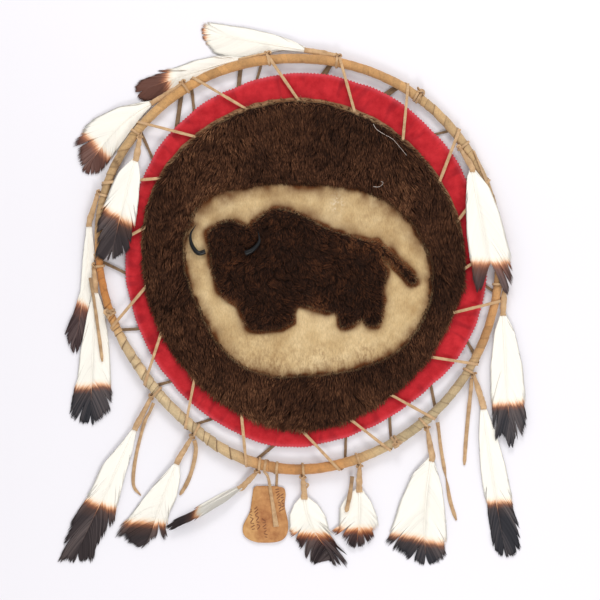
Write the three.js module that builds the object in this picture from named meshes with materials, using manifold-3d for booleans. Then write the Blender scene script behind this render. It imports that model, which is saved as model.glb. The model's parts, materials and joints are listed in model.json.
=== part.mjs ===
// A round hoop shield, lying on its back: a wrapped rod hoop, and in it, laced by one thong,
// a disc of fur hide over a disc of wool cloth. The fur is sheared off in an oval window, where
// it is left standing as a bison. Feathers, thong ends and a leather tag hang from the hoop.
// Millimetres. +Z is up and is the shield's face; +Y is its top; angles run clockwise from +Y.

import * as THREE from 'three';
import { mergeVertices } from 'three/addons/utils/BufferGeometryUtils.js';
import Module from 'manifold-3d';

const wasm = await Module();
wasm.setup();

// ---- driving dimensions ----

const gap = 0.3; // clearance between pieces that touch
const wrapGap = 0.55; // the same round the rod, whose faceted line cuts a little inside its curve
const lace = { width: 3, thick: 1.2 }; // the flat thong that laces the disc
const rodHeight = 10; // height of the hoop's centreline
const cloth = { z: 6.6, thick: 1.6 };
const hide = { z: cloth.z + cloth.thick + gap, thick: 2.5 };
const skinTop = hide.z + hide.thick;
const fur = { depth: 14, bisonDepth: 9, tuft: 1.4 };
const holeInset = 5; // from the hide's edge to a lacing hole
const hole = { along: 7, across: 6.8 };
const hoopSteps = 60;
const hoopSides = 10;
const furSteps = 54;
const clothSteps = 76;
const wrapStep = 45; // degrees round the rod from one point of a wrapped strap to the next

// Radii about the hoop's centre as [angle, radius], joined by a smooth closed curve.
const hoopLine = around([
  [0, 307], [32, 307.5], [62, 306], [100, 302], [125, 303], [150, 305], [182, 309.5], [200, 302],
  [212, 292], [225, 286.5], [237, 284.5], [250, 288.5], [270, 297], [290, 308], [305, 311], [332, 311],
]);
const hoopHalf = around([
  [0, 7.1], [60, 7], [100, 6.4], [150, 7.1], [192, 8], [235, 7.5], [267, 5.6], [300, 6.6], [338, 7.3],
]);
const clothEdge = around([
  [0, 285], [31, 286], [50, 283], [100, 285], [125, 277.5], [140, 270], [163, 271.5], [185, 276.5],
  [212, 265.5], [245, 257.5], [265, 258], [290, 262.5], [318, 274.5], [340, 280],
]);
const skinEdge = around([
  [0, 248], [40, 246], [90, 252], [125, 242], [155, 245], [180, 250], [215, 235], [245, 229],
  [270, 233], [300, 245], [335, 247],
]);
const windowEdge = around([
  [0, 119], [20, 126], [50, 157], [75, 183], [97, 203], [125, 202], [150, 181], [172, 169],
  [205, 174], [245, 162], [285, 172], [305, 166], [328, 136],
]);

// The lacing, step by step round the hoop: the angle where the thong comes over the rod's outer
// side, the angle of the hole that it then enters, and the angle where it meets the rod again
// from behind the disc.
const laceSteps = [
  [-8.5, 0.5, 9.6], [11.4, 20.8, 29.3], [31.6, 40.9, 49.2], [50.4, 60.5, 65], [66.5, 75.6, 82.5],
  [84, 92.6, 98.4], [100.6, 108.2, 117.4], [119.3, 126.1, 136.6], [138.6, 145.1, 152.4],
  [153.6, 162.2, 166.5], [168.4, 179.8, 192.2], [194, 201, 212.8], [214.1, 222.3, 229.4],
  [231.3, 244.3, 249.5], [250.6, 262, 270.6], [272, 283.4, 290.8], [292.2, 301.9, 310.1],
  [311.4, 321.3, 329], [330.4, 341.8, 350],
];

// The bison's outline, seen from above, as runs of points that a smooth curve follows.
const bisonBack = [
  [-135, 46], [-130, 51], [-103, 64], [-73, 54], [-65, 62], [-47, 76], [-31, 82], [-1, 75], [50, 50],
  [103, 34], [119, 33],
];
const bisonTail = [
  [119, 33], [143, 14], [167, -10], [179, -27], [170, -32], [157, -18], [136, 3], [128, 8],
];
const bisonRump = [[128, 8], [134, -16], [128, -38], [128, -62], [122, -92], [103, -93]];
const bisonLegs = [
  [98, -84], [89, -88], [79, -94], [65, -96], [60, -76], [37, -72], [-1, -64], [-7, -93],
];
const bisonChest = [
  [-25, -99], [-62, -102], [-76, -93], [-89, -64], [-113, -48], [-128, -10], [-131, 10], [-135, 46],
];

// Feathers: the place where the quill leaves its leather sleeve, a point that bends the shaft
// and the tip, seen from above; the height of the vane's underside at those three; half widths
// left and right of the shaft; and the share of the length at which the vane is widest.
// tie is the angle of the sleeve's loop on the hoop, and inward sleeves lie inside the hoop.
const feathers = [
  {
    tie: 8.2, root: [13, 320], bend: [-64, 332], tip: [-148, 339],
    lift: [7, 1, 0], half: [28, 27], full: 0.95,
  },
  {
    tie: 348.8, root: [-76, 318], bend: [-146, 300], tip: [-247, 262],
    lift: [6, -2, 0], half: [26, 20], full: 0.95,
  },
  {
    tie: 327.6, root: [-214, 244], bend: [-302, 232], tip: [-319, 135],
    lift: [7, 2, 0], half: [28, 29], full: 0.6,
  },
  {
    tie: 308.7, root: [-241, 157], bend: [-254, 87], tip: [-278, 3],
    lift: [17.5, 19.4, 18.8], half: [26, 27], full: 0.6, inward: true,
  },
  {
    tie: 289.4, root: [-313, 62], bend: [-320, -40], tip: [-336, -136],
    lift: [7, 4, 0], half: [18, 17], full: 0.85,
  },
  {
    tie: 269.2, root: [-305, -36], bend: [-310, -130], tip: [-311, -244],
    lift: [7, 3, 0], half: [33, 31], full: 0.9,
  },
  {
    tie: 227.6, root: [-240, -242], bend: [-288, -340], tip: [-341, -455],
    lift: [6, 3, 0], half: [33, 32], full: 0.5,
  },
  {
    tie: 211.3, root: [-181, -296], bend: [-206, -356], tip: [-227, -434],
    lift: [6, 3, 0], half: [29, 27], full: 0.7,
  },
  {
    tie: 190.9, root: [-82, -334], bend: [-132, -362], tip: [-183.5, -396.5],
    lift: [5, 2, 0], half: [9, 9], full: 0.5, roll: 65,
  },
  {
    tie: 178.6, root: [8, -348], bend: [16, -400], tip: [60, -458],
    lift: [6, 2, 0], half: [36, 35], full: 0.4,
  },
  {
    tie: 163, root: [91, -339], bend: [95, -378], tip: [84, -429],
    lift: [6, 4, 3.4], half: [29, 29], full: 0.5,
  },
  {
    tie: 141.9, root: [202, -288], bend: [182, -370], tip: [189, -458],
    lift: [6, 3, 0], half: [42, 44], full: 0.7,
  },
  {
    tie: 122.4, root: [277, -212], bend: [295, -326], tip: [316, -444],
    lift: [6, 1, 0], half: [26, 25], full: 0.7,
  },
  {
    tie: 54.6, root: [265, 142], bend: [280, 57], tip: [295, -51],
    lift: [18.7, 19.6, 19], half: [31, 33], full: 0.8, inward: true, notch: [34, 15],
  },
  {
    tie: 96.2, root: [308, -72], bend: [312, -190], tip: [320, -284],
    lift: [6.5, 6.5, 6], half: [28, 28], full: 0.8,
  },
];
const vane = { edge: 0.8, shaft: 2.4, shaftTip: 1.5, crown: 0.07, tip: 0.55 };
const sleeve = { band: 3.2, bandThick: 1.4, width: 8, thick: 4.4 };

// Loose ends of thong: points that the smooth route follows, and the thong's width.
const tails = [
  {
    name: 'thong_end_left', width: 5,
    route: [
      [-311, -22, 12.5], [-309, -33, 12.4], [-305, -56, 12], [-300, -93, 9.5], [-296, -123, 8],
      [-293, -148, 7],
    ],
  },
  {
    name: 'thong_end_lower_left', width: 5,
    route: [
      [-216, -210, 9.5], [-222, -224, 8.6], [-229, -237, 5.8], [-236.5, -262, 2.2], [-243, -290, 1.2],
      [-247, -318, 1.2], [-246, -337, 1.2], [-236, -349.5, 1.2],
    ],
  },
  {
    name: 'thong_end_bottom_left', width: 6,
    route: [
      [-155, -266, 9.5], [-152.5, -278, 8.8], [-155, -296, 4], [-161, -318, 1.4], [-169, -336, 1.2],
      [-177, -349, 1.2],
    ],
  },
  {
    name: 'thong_end_bottom', width: 6.5,
    route: [[82, -320, 10], [81, -330, 9.9], [78, -351, 8.8], [73, -374, 7.4]],
  },
  {
    name: 'thong_end_lower_right', width: 5.5,
    route: [
      [210, -239, 9.5], [212, -252, 8.9], [215, -275, 5], [220, -304, 1.4], [225, -331, 1.2],
      [230, -359, 1.2], [239, -387, 1.2],
    ],
  },
  {
    name: 'thong_end_right', width: 5.5,
    route: [
      [261.5, -173, 9.5], [260.5, -186, 8.9], [259, -205, 5.4], [255.5, -243, 1.6], [253, -273, 1.2],
      [251, -304, 1.2],
    ],
  },
];
const tailThick = 2.2;

// Bare knots of thong on the hoop: the angle round the hoop and the turn round its rod.
const knots = [
  { name: 'knot_top_right', angle: 35.6, turn: 20 },
  { name: 'knot_lower_right', angle: 151, turn: 75 },
  { name: 'knot_left', angle: 255, turn: 70 },
];

// The tag, seen from above, and the hole that its thong runs through.
const tag = {
  z: 1.8, thick: 2.4, hole: [-32, -396], holeRadius: 3.4, thongWidth: 4, thongThick: 1,
};
const tagOutline = [
  [-65, -337], [-53, -335], [-24, -337], [-18, -346], [-19, -366], [-14, -392], [-17, -410], [-30, -419],
  [-60, -420], [-79, -411], [-82, -396], [-72, -374], [-68, -350],
];

// Horns, as a line from the base to the point, with the thickness at the base.
const horns = [
  {
    name: 'horn_left', width: 7.5, z: skinTop + 4.3,
    line: [[-138, 17], [-149, 15], [-158, 27], [-160, 43], [-152, 57]],
  },
  {
    name: 'horn_right', width: 7, z: skinTop + fur.bisonDepth + 3.9,
    line: [[-78, 14], [-66, 20], [-57, 32], [-59, 47]],
  },
];

// ---- shape helpers ----

// A periodic smooth function of the angle through [angle, value] stations.
function around(stations) {
  const count = stations.length;
  const angleOf = (i) => stations[((i % count) + count) % count][0] + 360 * Math.floor(i / count);
  const valueOf = (i) => stations[((i % count) + count) % count][1];
  const slope = (i) => (valueOf(i + 1) - valueOf(i - 1)) / (angleOf(i + 1) - angleOf(i - 1));
  return (angle) => {
    const a = stations[0][0] + ((((angle - stations[0][0]) % 360) + 360) % 360);
    let i = 0;
    while (angleOf(i + 1) <= a) i += 1;
    const span = angleOf(i + 1) - angleOf(i);
    const t = (a - angleOf(i)) / span;
    const rise = t * t * (3 - 2 * t);
    return valueOf(i) * (1 - rise) + valueOf(i + 1) * rise
      + span * (slope(i) * t * (1 - t) ** 2 - slope(i + 1) * t * t * (1 - t));
  };
}

// The point at a clockwise angle from +Y, a radius and a height.
function polar(angle, radius, z = 0) {
  const a = THREE.MathUtils.degToRad(angle);
  return new THREE.Vector3(radius * Math.sin(a), radius * Math.cos(a), z);
}

// A closed skin over rings of equal point counts; the ends are capped unless the rings close on
// each other. It is turned inside out where its faces would point in.
function loft(rings, closed = false) {
  const sides = rings[0].length;
  const points = rings.flat();
  const faces = [];
  const last = closed ? rings.length : rings.length - 1;
  for (let i = 0; i < last; i += 1) {
    for (let j = 0; j < sides; j += 1) {
      const a = i * sides + j;
      const b = i * sides + ((j + 1) % sides);
      const shift = ((i + 1) % rings.length) * sides - i * sides;
      faces.push([a, b, b + shift], [a, b + shift, a + shift]);
    }
  }
  if (!closed) {
    const end = (rings.length - 1) * sides;
    for (let j = 1; j < sides - 1; j += 1) {
      faces.push([0, j + 1, j], [end, end + j, end + j + 1]);
    }
  }
  let volume = 0;
  for (const [a, b, c] of faces) {
    volume += points[a].dot(points[b].clone().cross(points[c]));
  }
  const turned = volume < 0 ? faces.map(([a, b, c]) => [a, c, b]) : faces;
  const places = points.flatMap((p) => p.toArray());
  const geometry = new THREE.BufferGeometry();
  geometry.setAttribute('position', new THREE.Float32BufferAttribute(places, 3));
  geometry.setIndex(turned.flat());
  return geometry;
}

// A flat strap of rectangular section along a line. across is the way that its width faces: one
// way per point, or the way at the start, from where it is carried along the line. sizes gives
// [width, thickness] per point.
function strap(line, across, sizes) {
  let side = across;
  const rings = line.map((p, i) => {
    const before = line[Math.max(i - 1, 0)];
    const after = line[Math.min(i + 1, line.length - 1)];
    const into = p.clone().sub(before).normalize();
    const out = after.clone().sub(p).normalize();
    const along = into.clone().add(out).normalize();
    side = Array.isArray(across) ? across[i].clone() : side.clone();
    side.sub(along.clone().multiplyScalar(side.dot(along))).normalize();
    const up = along.clone().cross(side);
    const mitre = Math.min(1 / Math.max(along.dot(i ? into : out), 0.6), 1.25);
    const [width, thick] = sizes(i / (line.length - 1), i);
    return [[-1, -1], [1, -1], [1, 1], [-1, 1]].map(([w, t]) => p.clone()
      .addScaledVector(side, (w * width) / 2)
      .addScaledVector(up, (t * thick * mitre) / 2));
  });
  return loft(rings);
}

// The place on the turn round the hoop's rod at an angle round the hoop and a turn angle: 0 is
// outside, 90 on top, 180 inside and -90 below. off is the distance from the rod's surface.
function onRod(angle, turn, off) {
  const t = THREE.MathUtils.degToRad(turn);
  const r = hoopHalf(angle) + off;
  return polar(angle, hoopLine(angle) + r * Math.cos(t), rodHeight + r * Math.sin(t));
}

// A point of a strap of that thickness wrapped round the rod, so that its straight runs from
// one wrapStep to the next clear the rod; out lifts it further.
function wrapped(angle, turn, thick, out = 0) {
  const r = (hoopHalf(angle) + wrapGap + thick / 2) / Math.cos(THREE.MathUtils.degToRad(wrapStep / 2));
  return onRod(angle, turn, r - hoopHalf(angle) + out);
}

function tangentAt(angle) {
  return polar(angle + 90, 1);
}

function closedShape(radiusAt, steps) {
  return new THREE.Shape(Array.from({ length: steps }, (_, i) => {
    const p = polar((-360 * i) / steps, radiusAt((-360 * i) / steps));
    return new THREE.Vector2(p.x, p.y);
  }));
}

function solid(geometry) {
  const bare = geometry.clone();
  bare.deleteAttribute('normal');
  bare.deleteAttribute('uv');
  const merged = mergeVertices(bare, 1e-4);
  return new wasm.Manifold(new wasm.Mesh({
    numProp: 3,
    vertProperties: merged.attributes.position.array,
    triVerts: new Uint32Array(merged.index.array),
  }));
}

function geometryOf(manifold) {
  const mesh = manifold.getMesh();
  const geometry = new THREE.BufferGeometry();
  geometry.setAttribute('position', new THREE.BufferAttribute(mesh.vertProperties, 3));
  geometry.setIndex(new THREE.BufferAttribute(mesh.triVerts, 1));
  return geometry;
}

function extruded(shape, depth, z, more = { bevelEnabled: false }) {
  return new THREE.ExtrudeGeometry(shape, { depth, curveSegments: 3, ...more }).translate(0, 0, z);
}

// ---- pieces ----

function makeHoop() {
  const rings = Array.from({ length: hoopSteps }, (_, i) => {
    const angle = (360 * i) / hoopSteps;
    return Array.from({ length: hoopSides }, (__, j) => onRod(angle, (360 * (j + 0.5)) / hoopSides, 0));
  });
  return loft(rings, true);
}

// Four-sided holes for the lacing, as paths that an extruded disc leaves open.
function lacingHoles() {
  return laceSteps.map(([, angle]) => {
    const centre = skinEdge(angle) - holeInset;
    const corners = [[-1, -1], [1, -1], [1, 1], [-1, 1]].map(([out, side]) => {
      const p = polar(angle, centre + (out * hole.along) / 2);
      p.addScaledVector(tangentAt(angle), (side * hole.across) / 2);
      return new THREE.Vector2(p.x, p.y);
    });
    return new THREE.Path(corners);
  });
}

function makeCloth() {
  const shape = closedShape(clothEdge, clothSteps);
  shape.holes = lacingHoles();
  return extruded(shape, cloth.thick, cloth.z);
}

// The band of standing fur round the window: steep outside, a low plump top, a slope inside,
// broken all over into tufts that stand in and out by a wave along the band.
function furBand() {
  const plump = fur.depth - fur.tuft;
  const bury = -1;
  const rings = Array.from({ length: furSteps }, (_, i) => {
    const angle = (360 * i) / furSteps;
    const outer = skinEdge(angle) - holeInset - hole.along / 2 - 0.6 - fur.tuft;
    const inner = windowEdge(angle);
    const profile = [
      [outer, bury / plump], [outer, 0.5], [outer - 6, 0.9],
      [inner + 16, 0.95], [inner + 4, 0.55], [inner, -0.05],
    ];
    return profile.map(([r, rise], k) => {
      const tuft = fur.tuft * Math.sin(2.4 * i + 1.9 * k);
      return polar(angle, r + tuft, skinTop + rise * plump + (k === 0 ? 0 : tuft * rise));
    });
  });
  return loft(rings, true);
}

function bisonShape() {
  const runs = [bisonBack, bisonTail, bisonRump, bisonLegs, bisonChest];
  const shape = new THREE.Shape();
  shape.moveTo(...runs[0][0]);
  for (const run of runs) {
    const points = run.map(([x, y]) => new THREE.Vector2(x, y));
    const drawn = new THREE.SplineCurve(points).getPoints(Math.round(run.length * 1.2));
    for (const p of drawn) {
      if (p.distanceTo(shape.currentPoint) > 2) shape.lineTo(p.x, p.y);
    }
  }
  return shape;
}

function makeHide() {
  const skinShape = closedShape(skinEdge, clothSteps);
  skinShape.holes = lacingHoles();
  const bevel = {
    bevelEnabled: true, bevelThickness: 2.4, bevelSize: 4, bevelOffset: -4, bevelSegments: 2,
  };
  const rise = fur.bisonDepth - bevel.bevelThickness;
  const bison = extruded(bisonShape(), rise, skinTop, bevel);
  const skin = solid(extruded(skinShape, hide.thick, hide.z));
  return geometryOf(skin.add(solid(furBand())).add(solid(bison)));
}

// The whole thong: over the hoop, straight in to a hole, down through cloth and hide, out under
// the disc and round the hoop from below, step after step; it starts and ends at the top.
function makeLacing() {
  const over = skinTop + gap + lace.thick / 2;
  const under = cloth.z - gap - lace.thick / 2;
  const line = [];
  const sides = [];
  const add = (p, side) => {
    line.push(p);
    sides.push(side);
  };
  laceSteps.forEach(([outer, holeAngle, behind], i) => {
    const centre = polar(holeAngle, skinEdge(holeAngle) - holeInset);
    const start = wrapped(outer, 0, lace.thick);
    const inward = centre.clone().sub(start).setZ(0).normalize();
    const frontSide = new THREE.Vector3(-inward.y, inward.x, 0);
    for (const turn of [1.5, 2.5]) {
      const point = wrapped(outer, turn * wrapStep, lace.thick);
      const reach = (start.length() - point.length()) / (start.length() - centre.length());
      add(start.clone().lerp(centre, reach).setZ(point.z), frontSide);
    }
    const back = wrapped(behind, -2.5 * wrapStep, lace.thick);
    const outward = back.clone().sub(centre).setZ(0).normalize();
    const backSide = new THREE.Vector3(outward.y, -outward.x, 0);
    add(centre.clone().addScaledVector(inward, -2.5).setZ(over), frontSide);
    add(centre.clone().addScaledVector(inward, -0.5).setZ(over - 1.5), frontSide);
    add(centre.clone().addScaledVector(outward, 0.5).setZ(under + 1.5), backSide);
    add(centre.clone().addScaledVector(outward, 2.5).setZ(under), backSide);
    add(back, tangentAt(behind));
    if (i + 1 < laceSteps.length) {
      const next = laceSteps[i + 1][0];
      for (const turn of [-1.5, -0.5, 0.5]) {
        const angle = THREE.MathUtils.mapLinear(turn, -2.5, 0.9, behind, next);
        add(wrapped(angle, turn * wrapStep, lace.thick), tangentAt(angle));
      }
    }
  });
  return strap(line, sides, () => [lace.width, lace.thick]);
}

// A point on the curve of a feather's shaft, seen from above, and the way that it runs there.
function shaftOf(feather) {
  return new THREE.QuadraticBezierCurve(...[feather.root, feather.bend, feather.tip]
    .map(([x, y]) => new THREE.Vector2(x, y)));
}

function blend3([a, b, c], s) {
  return a * (1 - s) ** 2 + 2 * b * s * (1 - s) + c * s * s;
}

// The vane's share of its full width: a bare quill, then a swelling, then a blunt tip.
function vaneWidth(s, full) {
  const swell = 0.07 + 0.93 * THREE.MathUtils.smoothstep(s, -0.02, full) ** 0.9;
  const close = THREE.MathUtils.smoothstep(s, 0.78, 1.04);
  return swell * (1 - (1 - vane.tip) * close * close);
}

function makeFeather(feather) {
  const shaft = shaftOf(feather);
  const roll = THREE.MathUtils.degToRad(feather.roll ?? 0);
  const stations = [0, 0.1, 0.24, 0.42, 0.62, 0.8, 0.92, 1];
  const rings = stations.map((s) => {
    const at = shaft.getPoint(s);
    const way = shaft.getTangent(s);
    const level = new THREE.Vector3(-way.y, way.x, 0);
    const left = level.clone().multiplyScalar(Math.cos(roll)).setZ(Math.sin(roll));
    const up = level.clone().multiplyScalar(-Math.sin(roll)).setZ(Math.cos(roll));
    const [wideLeft, wideRight] = feather.half.map((w) => w * vaneWidth(s, feather.full));
    const drop = vane.crown * Math.min(wideLeft, wideRight);
    const thick = THREE.MathUtils.lerp(vane.shaft, vane.shaftTip, s);
    const low = Math.max(drop + vane.edge / 2, thick / 2) * Math.cos(roll) + wideRight * Math.sin(roll);
    const centre = new THREE.Vector3(at.x, at.y, Math.max(blend3(feather.lift, s), 0) + low);
    return [
      [0, thick / 2], [wideLeft, vane.edge / 2 - drop], [wideLeft, -vane.edge / 2 - drop],
      [0, -thick / 2], [-wideRight, -vane.edge / 2 - drop], [-wideRight, vane.edge / 2 - drop],
    ].map(([side, height]) => centre.clone().addScaledVector(left, side).addScaledVector(up, height));
  });
  const whole = loft(rings);
  if (!feather.notch) return whole;
  const [deep, open] = feather.notch;
  const tip = shaft.getPoint(1);
  const way = shaft.getTangent(1);
  const side = new THREE.Vector2(-way.y, way.x);
  const wedge = new THREE.Shape([
    tip.clone().addScaledVector(way, -deep),
    tip.clone().addScaledVector(way, 4).addScaledVector(side, -open),
    tip.clone().addScaledVector(way, 4).addScaledVector(side, open),
  ]);
  return geometryOf(solid(whole).subtract(solid(extruded(wedge, 60, 0))));
}

// The turns of a strap that goes once round the rod and ends beside the turn at its end.
function onceRound(end, way = -1) {
  return Array.from({ length: 8 }, (_, i) => end + way * wrapStep * (i + 0.5));
}

// A leather strip once round the hoop, drawn into a knot and then a sleeve round the quill.
function makeTie(feather) {
  const { tie, root, lift, inward } = feather;
  const turns = inward ? onceRound(180, 1) : onceRound(0);
  const line = turns.map((turn, i) => wrapped(tie + 0.012 * i, turn, sleeve.bandThick));
  const quill = new THREE.Vector3(root[0], root[1], lift[0] + vane.shaft / 2 + 0.3);
  const way = shaftOf(feather).getTangent(0);
  const mouth = quill.clone().addScaledVector(new THREE.Vector3(way.x, way.y, 0), -2);
  const knot = wrapped(tie, inward ? 150 : 4, sleeve.bandThick, 5.8);
  line.push(knot, knot.clone().lerp(mouth, 0.4), mouth);
  const sizes = [[5, 3.6], [sleeve.width * 0.8, sleeve.thick], [sleeve.width, sleeve.thick]];
  const band = [sleeve.band, sleeve.bandThick];
  return strap(line, tangentAt(tie), (_, i) => (i < turns.length ? band : sizes[i - turns.length]));
}

// A thong end once round the hoop that ends in a lump of a knot at a turn of the rod.
function makeKnot({ angle, turn }) {
  const turns = onceRound(turn - 5).slice(0, 7);
  const line = turns.map((at) => wrapped(angle, at, sleeve.bandThick));
  line.push(wrapped(angle, turn + 22, 5, 1.2), wrapped(angle, turn + 2, 5, 2.4));
  const band = [sleeve.band, sleeve.bandThick];
  return strap(line, tangentAt(angle), (_, i) => (i < turns.length ? band : [8.5, 5]));
}

function makeTail({ route, width }) {
  const curve = new THREE.CatmullRomCurve3(route.map((p) => new THREE.Vector3(...p)));
  const section = new THREE.Shape();
  section.absellipse(0, 0, tailThick / 2, width / 2, 0, Math.PI * 2);
  const steps = Math.round(curve.getLength() / 12);
  return new THREE.ExtrudeGeometry(section, {
    steps, curveSegments: 4, extrudePath: curve, bevelEnabled: false,
  });
}

function makeHorn({ line, width, z }) {
  const curve = new THREE.CatmullRomCurve3(line.map(([x, y]) => new THREE.Vector3(x, y, z)));
  const steps = 8;
  const sides = 6;
  const rings = Array.from({ length: steps + 1 }, (_, i) => {
    const s = i / steps;
    const way = curve.getTangent(s);
    const side = new THREE.Vector3(-way.y, way.x, 0);
    const radius = (width / 2) * (1 - 0.85 * s ** 1.6);
    return Array.from({ length: sides }, (__, j) => {
      const a = (2 * Math.PI * j) / sides;
      return curve.getPoint(s).addScaledVector(side, radius * Math.cos(a))
        .add(new THREE.Vector3(0, 0, radius * Math.sin(a)));
    });
  });
  return loft(rings);
}

function makeTag() {
  const points = tagOutline.map(([x, y]) => new THREE.Vector2(x, y));
  const shape = new THREE.Shape(new THREE.SplineCurve([...points, points[0]]).getPoints(28).slice(0, -1));
  const opening = new THREE.Path();
  opening.absarc(...tag.hole, tag.holeRadius, 0, Math.PI * 2);
  shape.holes = [opening];
  return extruded(shape, tag.thick, tag.z);
}

// The tag's thong: from the hole up over the hoop, once round it, over it again beside the first
// strand and down behind the tag to the hole.
function makeTagThong() {
  const [x, y] = tag.hole;
  const above = tag.z + tag.thick + 1;
  const first = 189.1;
  const second = 185.8;
  const turns = Array.from({ length: 14 }, (_, i) => wrapStep * (i + 0.5));
  const line = [
    new THREE.Vector3(x, y - 0.5, tag.z + 0.9),
    new THREE.Vector3(x - 0.4, y + 2.4, above),
    new THREE.Vector3(x - 8, -345, above + 1.5),
    ...turns.map((turn, i) => {
      const angle = THREE.MathUtils.lerp(first, second, THREE.MathUtils.clamp((i - 3) / 5, 0, 1));
      return wrapped(angle, turn, tag.thongThick, 0.2);
    }),
    new THREE.Vector3(-30, -333, 0.8),
    new THREE.Vector3(-32, -366, 0.8),
    new THREE.Vector3(x + 1, y + 4, 0.8),
  ];
  return strap(line, line.map(() => tangentAt(185)), () => [tag.thongWidth, tag.thongThick]);
}

// ---- materials and assembly ----

function finish(color, roughness) {
  return new THREE.MeshStandardMaterial({ color, roughness, metalness: 0 });
}

const buckskin = finish(0xcda569, 0.8);
const thong = finish(0xc3a47c, 0.8);
const wool = finish(0xc82332, 0.95);
const furHide = finish(0x4a3324, 0.95);
const horn = finish(0x17130f, 0.2);
const plume = finish(0xf6f3ea, 0.8);
const tagLeather = finish(0xc08a4e, 0.7);

const shield = new THREE.Group();

function place(name, geometry, material) {
  const mesh = new THREE.Mesh(geometry, material);
  mesh.name = name;
  shield.add(mesh);
}

place('hoop', makeHoop(), buckskin);
place('cloth_backing', makeCloth(), wool);
place('fur_hide', makeHide(), furHide);
place('lacing', makeLacing(), thong);
feathers.forEach((feather, i) => {
  const number = String(i + 1).padStart(2, '0');
  place(`feather_${number}`, makeFeather(feather), plume);
  place(`feather_tie_${number}`, makeTie(feather), thong);
});
knots.forEach((knot) => place(knot.name, makeKnot(knot), thong));
tails.forEach((tail) => place(tail.name, makeTail(tail), thong));
horns.forEach((one) => place(one.name, makeHorn(one), horn));
place('leather_tag', makeTag(), tagLeather);
place('tag_thong', makeTagThong(), thong);

// The origin is under the middle of the whole shield, on the surface that it lies on.
const box = new THREE.Box3().setFromObject(shield);
const middle = box.getCenter(new THREE.Vector3());
shield.position.set(-middle.x, -middle.y, -box.min.z);

export default shield;
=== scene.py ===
import bpy
import json
import numpy as np
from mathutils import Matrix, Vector


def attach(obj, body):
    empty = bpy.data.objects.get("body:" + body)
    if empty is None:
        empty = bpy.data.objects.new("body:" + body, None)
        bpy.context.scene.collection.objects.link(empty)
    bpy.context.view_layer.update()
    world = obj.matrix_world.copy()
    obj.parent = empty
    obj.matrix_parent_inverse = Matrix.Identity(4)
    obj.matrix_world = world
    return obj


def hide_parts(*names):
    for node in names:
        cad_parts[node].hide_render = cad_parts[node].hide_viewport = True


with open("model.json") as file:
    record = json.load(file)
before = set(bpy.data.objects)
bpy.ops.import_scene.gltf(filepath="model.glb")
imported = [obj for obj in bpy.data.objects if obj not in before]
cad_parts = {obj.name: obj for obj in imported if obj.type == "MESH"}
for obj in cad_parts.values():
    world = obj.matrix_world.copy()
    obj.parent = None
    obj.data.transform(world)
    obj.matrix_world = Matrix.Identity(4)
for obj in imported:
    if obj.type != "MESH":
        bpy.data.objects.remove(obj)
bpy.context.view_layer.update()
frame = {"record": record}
print("frame loaded")

# Places are worked out in millimetres about the hoop's centre, with angles in degrees clockwise
# from the top, and turned into metres in the part's frame as each mesh is made.
origin = np.array(frame["record"]["mounts"][0]["pos_m"]) - (0, 0, 0.0066)


def toRow(places):
    # Metres in the part's frame.
    return np.asarray(places, float) * 0.001 + origin


# Curves, noise and places

def around(stations):
    # Closed smooth curve through [angle, value, ...]: on each span the two values are mixed by
    # t*t*(3-2t), and the slopes at its ends come in by t(1-t)^2 and t*t(1-t).
    table = np.array(stations, float)
    angle = np.concatenate([table[-2:, 0] - 360, table[:, 0], table[:2, 0] + 360])
    value = np.concatenate([table[-2:, 1:], table[:, 1:], table[:2, 1:]])
    slope = np.zeros_like(value)
    slope[1:-1] = (value[2:] - value[:-2]) / (angle[2:] - angle[:-2])[:, None]

    def at(degrees):
        a = table[0, 0] + np.mod(np.asarray(degrees, float) - table[0, 0], 360)
        i = np.searchsorted(angle, a, side="right") - 1
        span = (angle[i + 1] - angle[i])[..., None]
        t = (a - angle[i])[..., None] / span
        rise = t * t * (3 - 2 * t)
        bend = span * (slope[i] * t * (1 - t) ** 2 - slope[i + 1] * t * t * (1 - t))
        found = value[i] * (1 - rise) + value[i + 1] * rise + bend
        return found[..., 0] if table.shape[1] == 2 else found
    return at


def smooth(x, low, high):
    # 0 below low, 1 above high, and t*t*(3-2t) of the share t of the way between them.
    t = np.clip((x - low) / (high - low), 0, 1)
    return t * t * (3 - 2 * t)


def fade(away, reach):
    # 1 at a distance of 0 or less, and e to the power of -1 at the reach.
    return np.exp(-np.clip(away, 0, 99) / reach)


def mix(a, b, t):
    # a at 0, b at 1, and evenly between.
    return a + (b - a) * t


def scatter(*whole, seed=0):
    # A fixed value from 0 to 1 for each set of whole numbers: they are multiplied by large odd
    # numbers, summed, and the bits folded over each other twice.
    n = np.full(np.broadcast(*whole).shape or (1,), seed * 7919 + 12345, np.uint64)
    for value, odd in zip(whole, (374761393, 668265263, 2147483647)):
        n = n + np.atleast_1d(value).astype(np.int64).astype(np.uint64) * np.uint64(odd)
    n = (n ^ (n >> np.uint64(13))) * np.uint64(1274126177)
    n = (n ^ (n >> np.uint64(17))) * np.uint64(2246822519)
    found = ((n ^ (n >> np.uint64(15))) & np.uint64(0xFFFFF)).astype(float) / 0xFFFFF
    return found if np.broadcast(*whole).shape else float(found[0])


def noise(x, y, seed=0):
    # Value noise from -1 to 1 with cells one wide: scatter at the four corners, mixed by
    # t*t*(3-2t) each way.
    x, y = np.broadcast_arrays(np.asarray(x, float), np.asarray(y, float))
    i, j = np.floor(x), np.floor(y)
    u, v = x - i, y - j
    u, v = u * u * (3 - 2 * u), v * v * (3 - 2 * v)
    low = mix(scatter(i, j, seed=seed), scatter(i + 1, j, seed=seed), u)
    high = mix(scatter(i, j + 1, seed=seed), scatter(i + 1, j + 1, seed=seed), u)
    return 2 * mix(low, high, v) - 1


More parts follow.
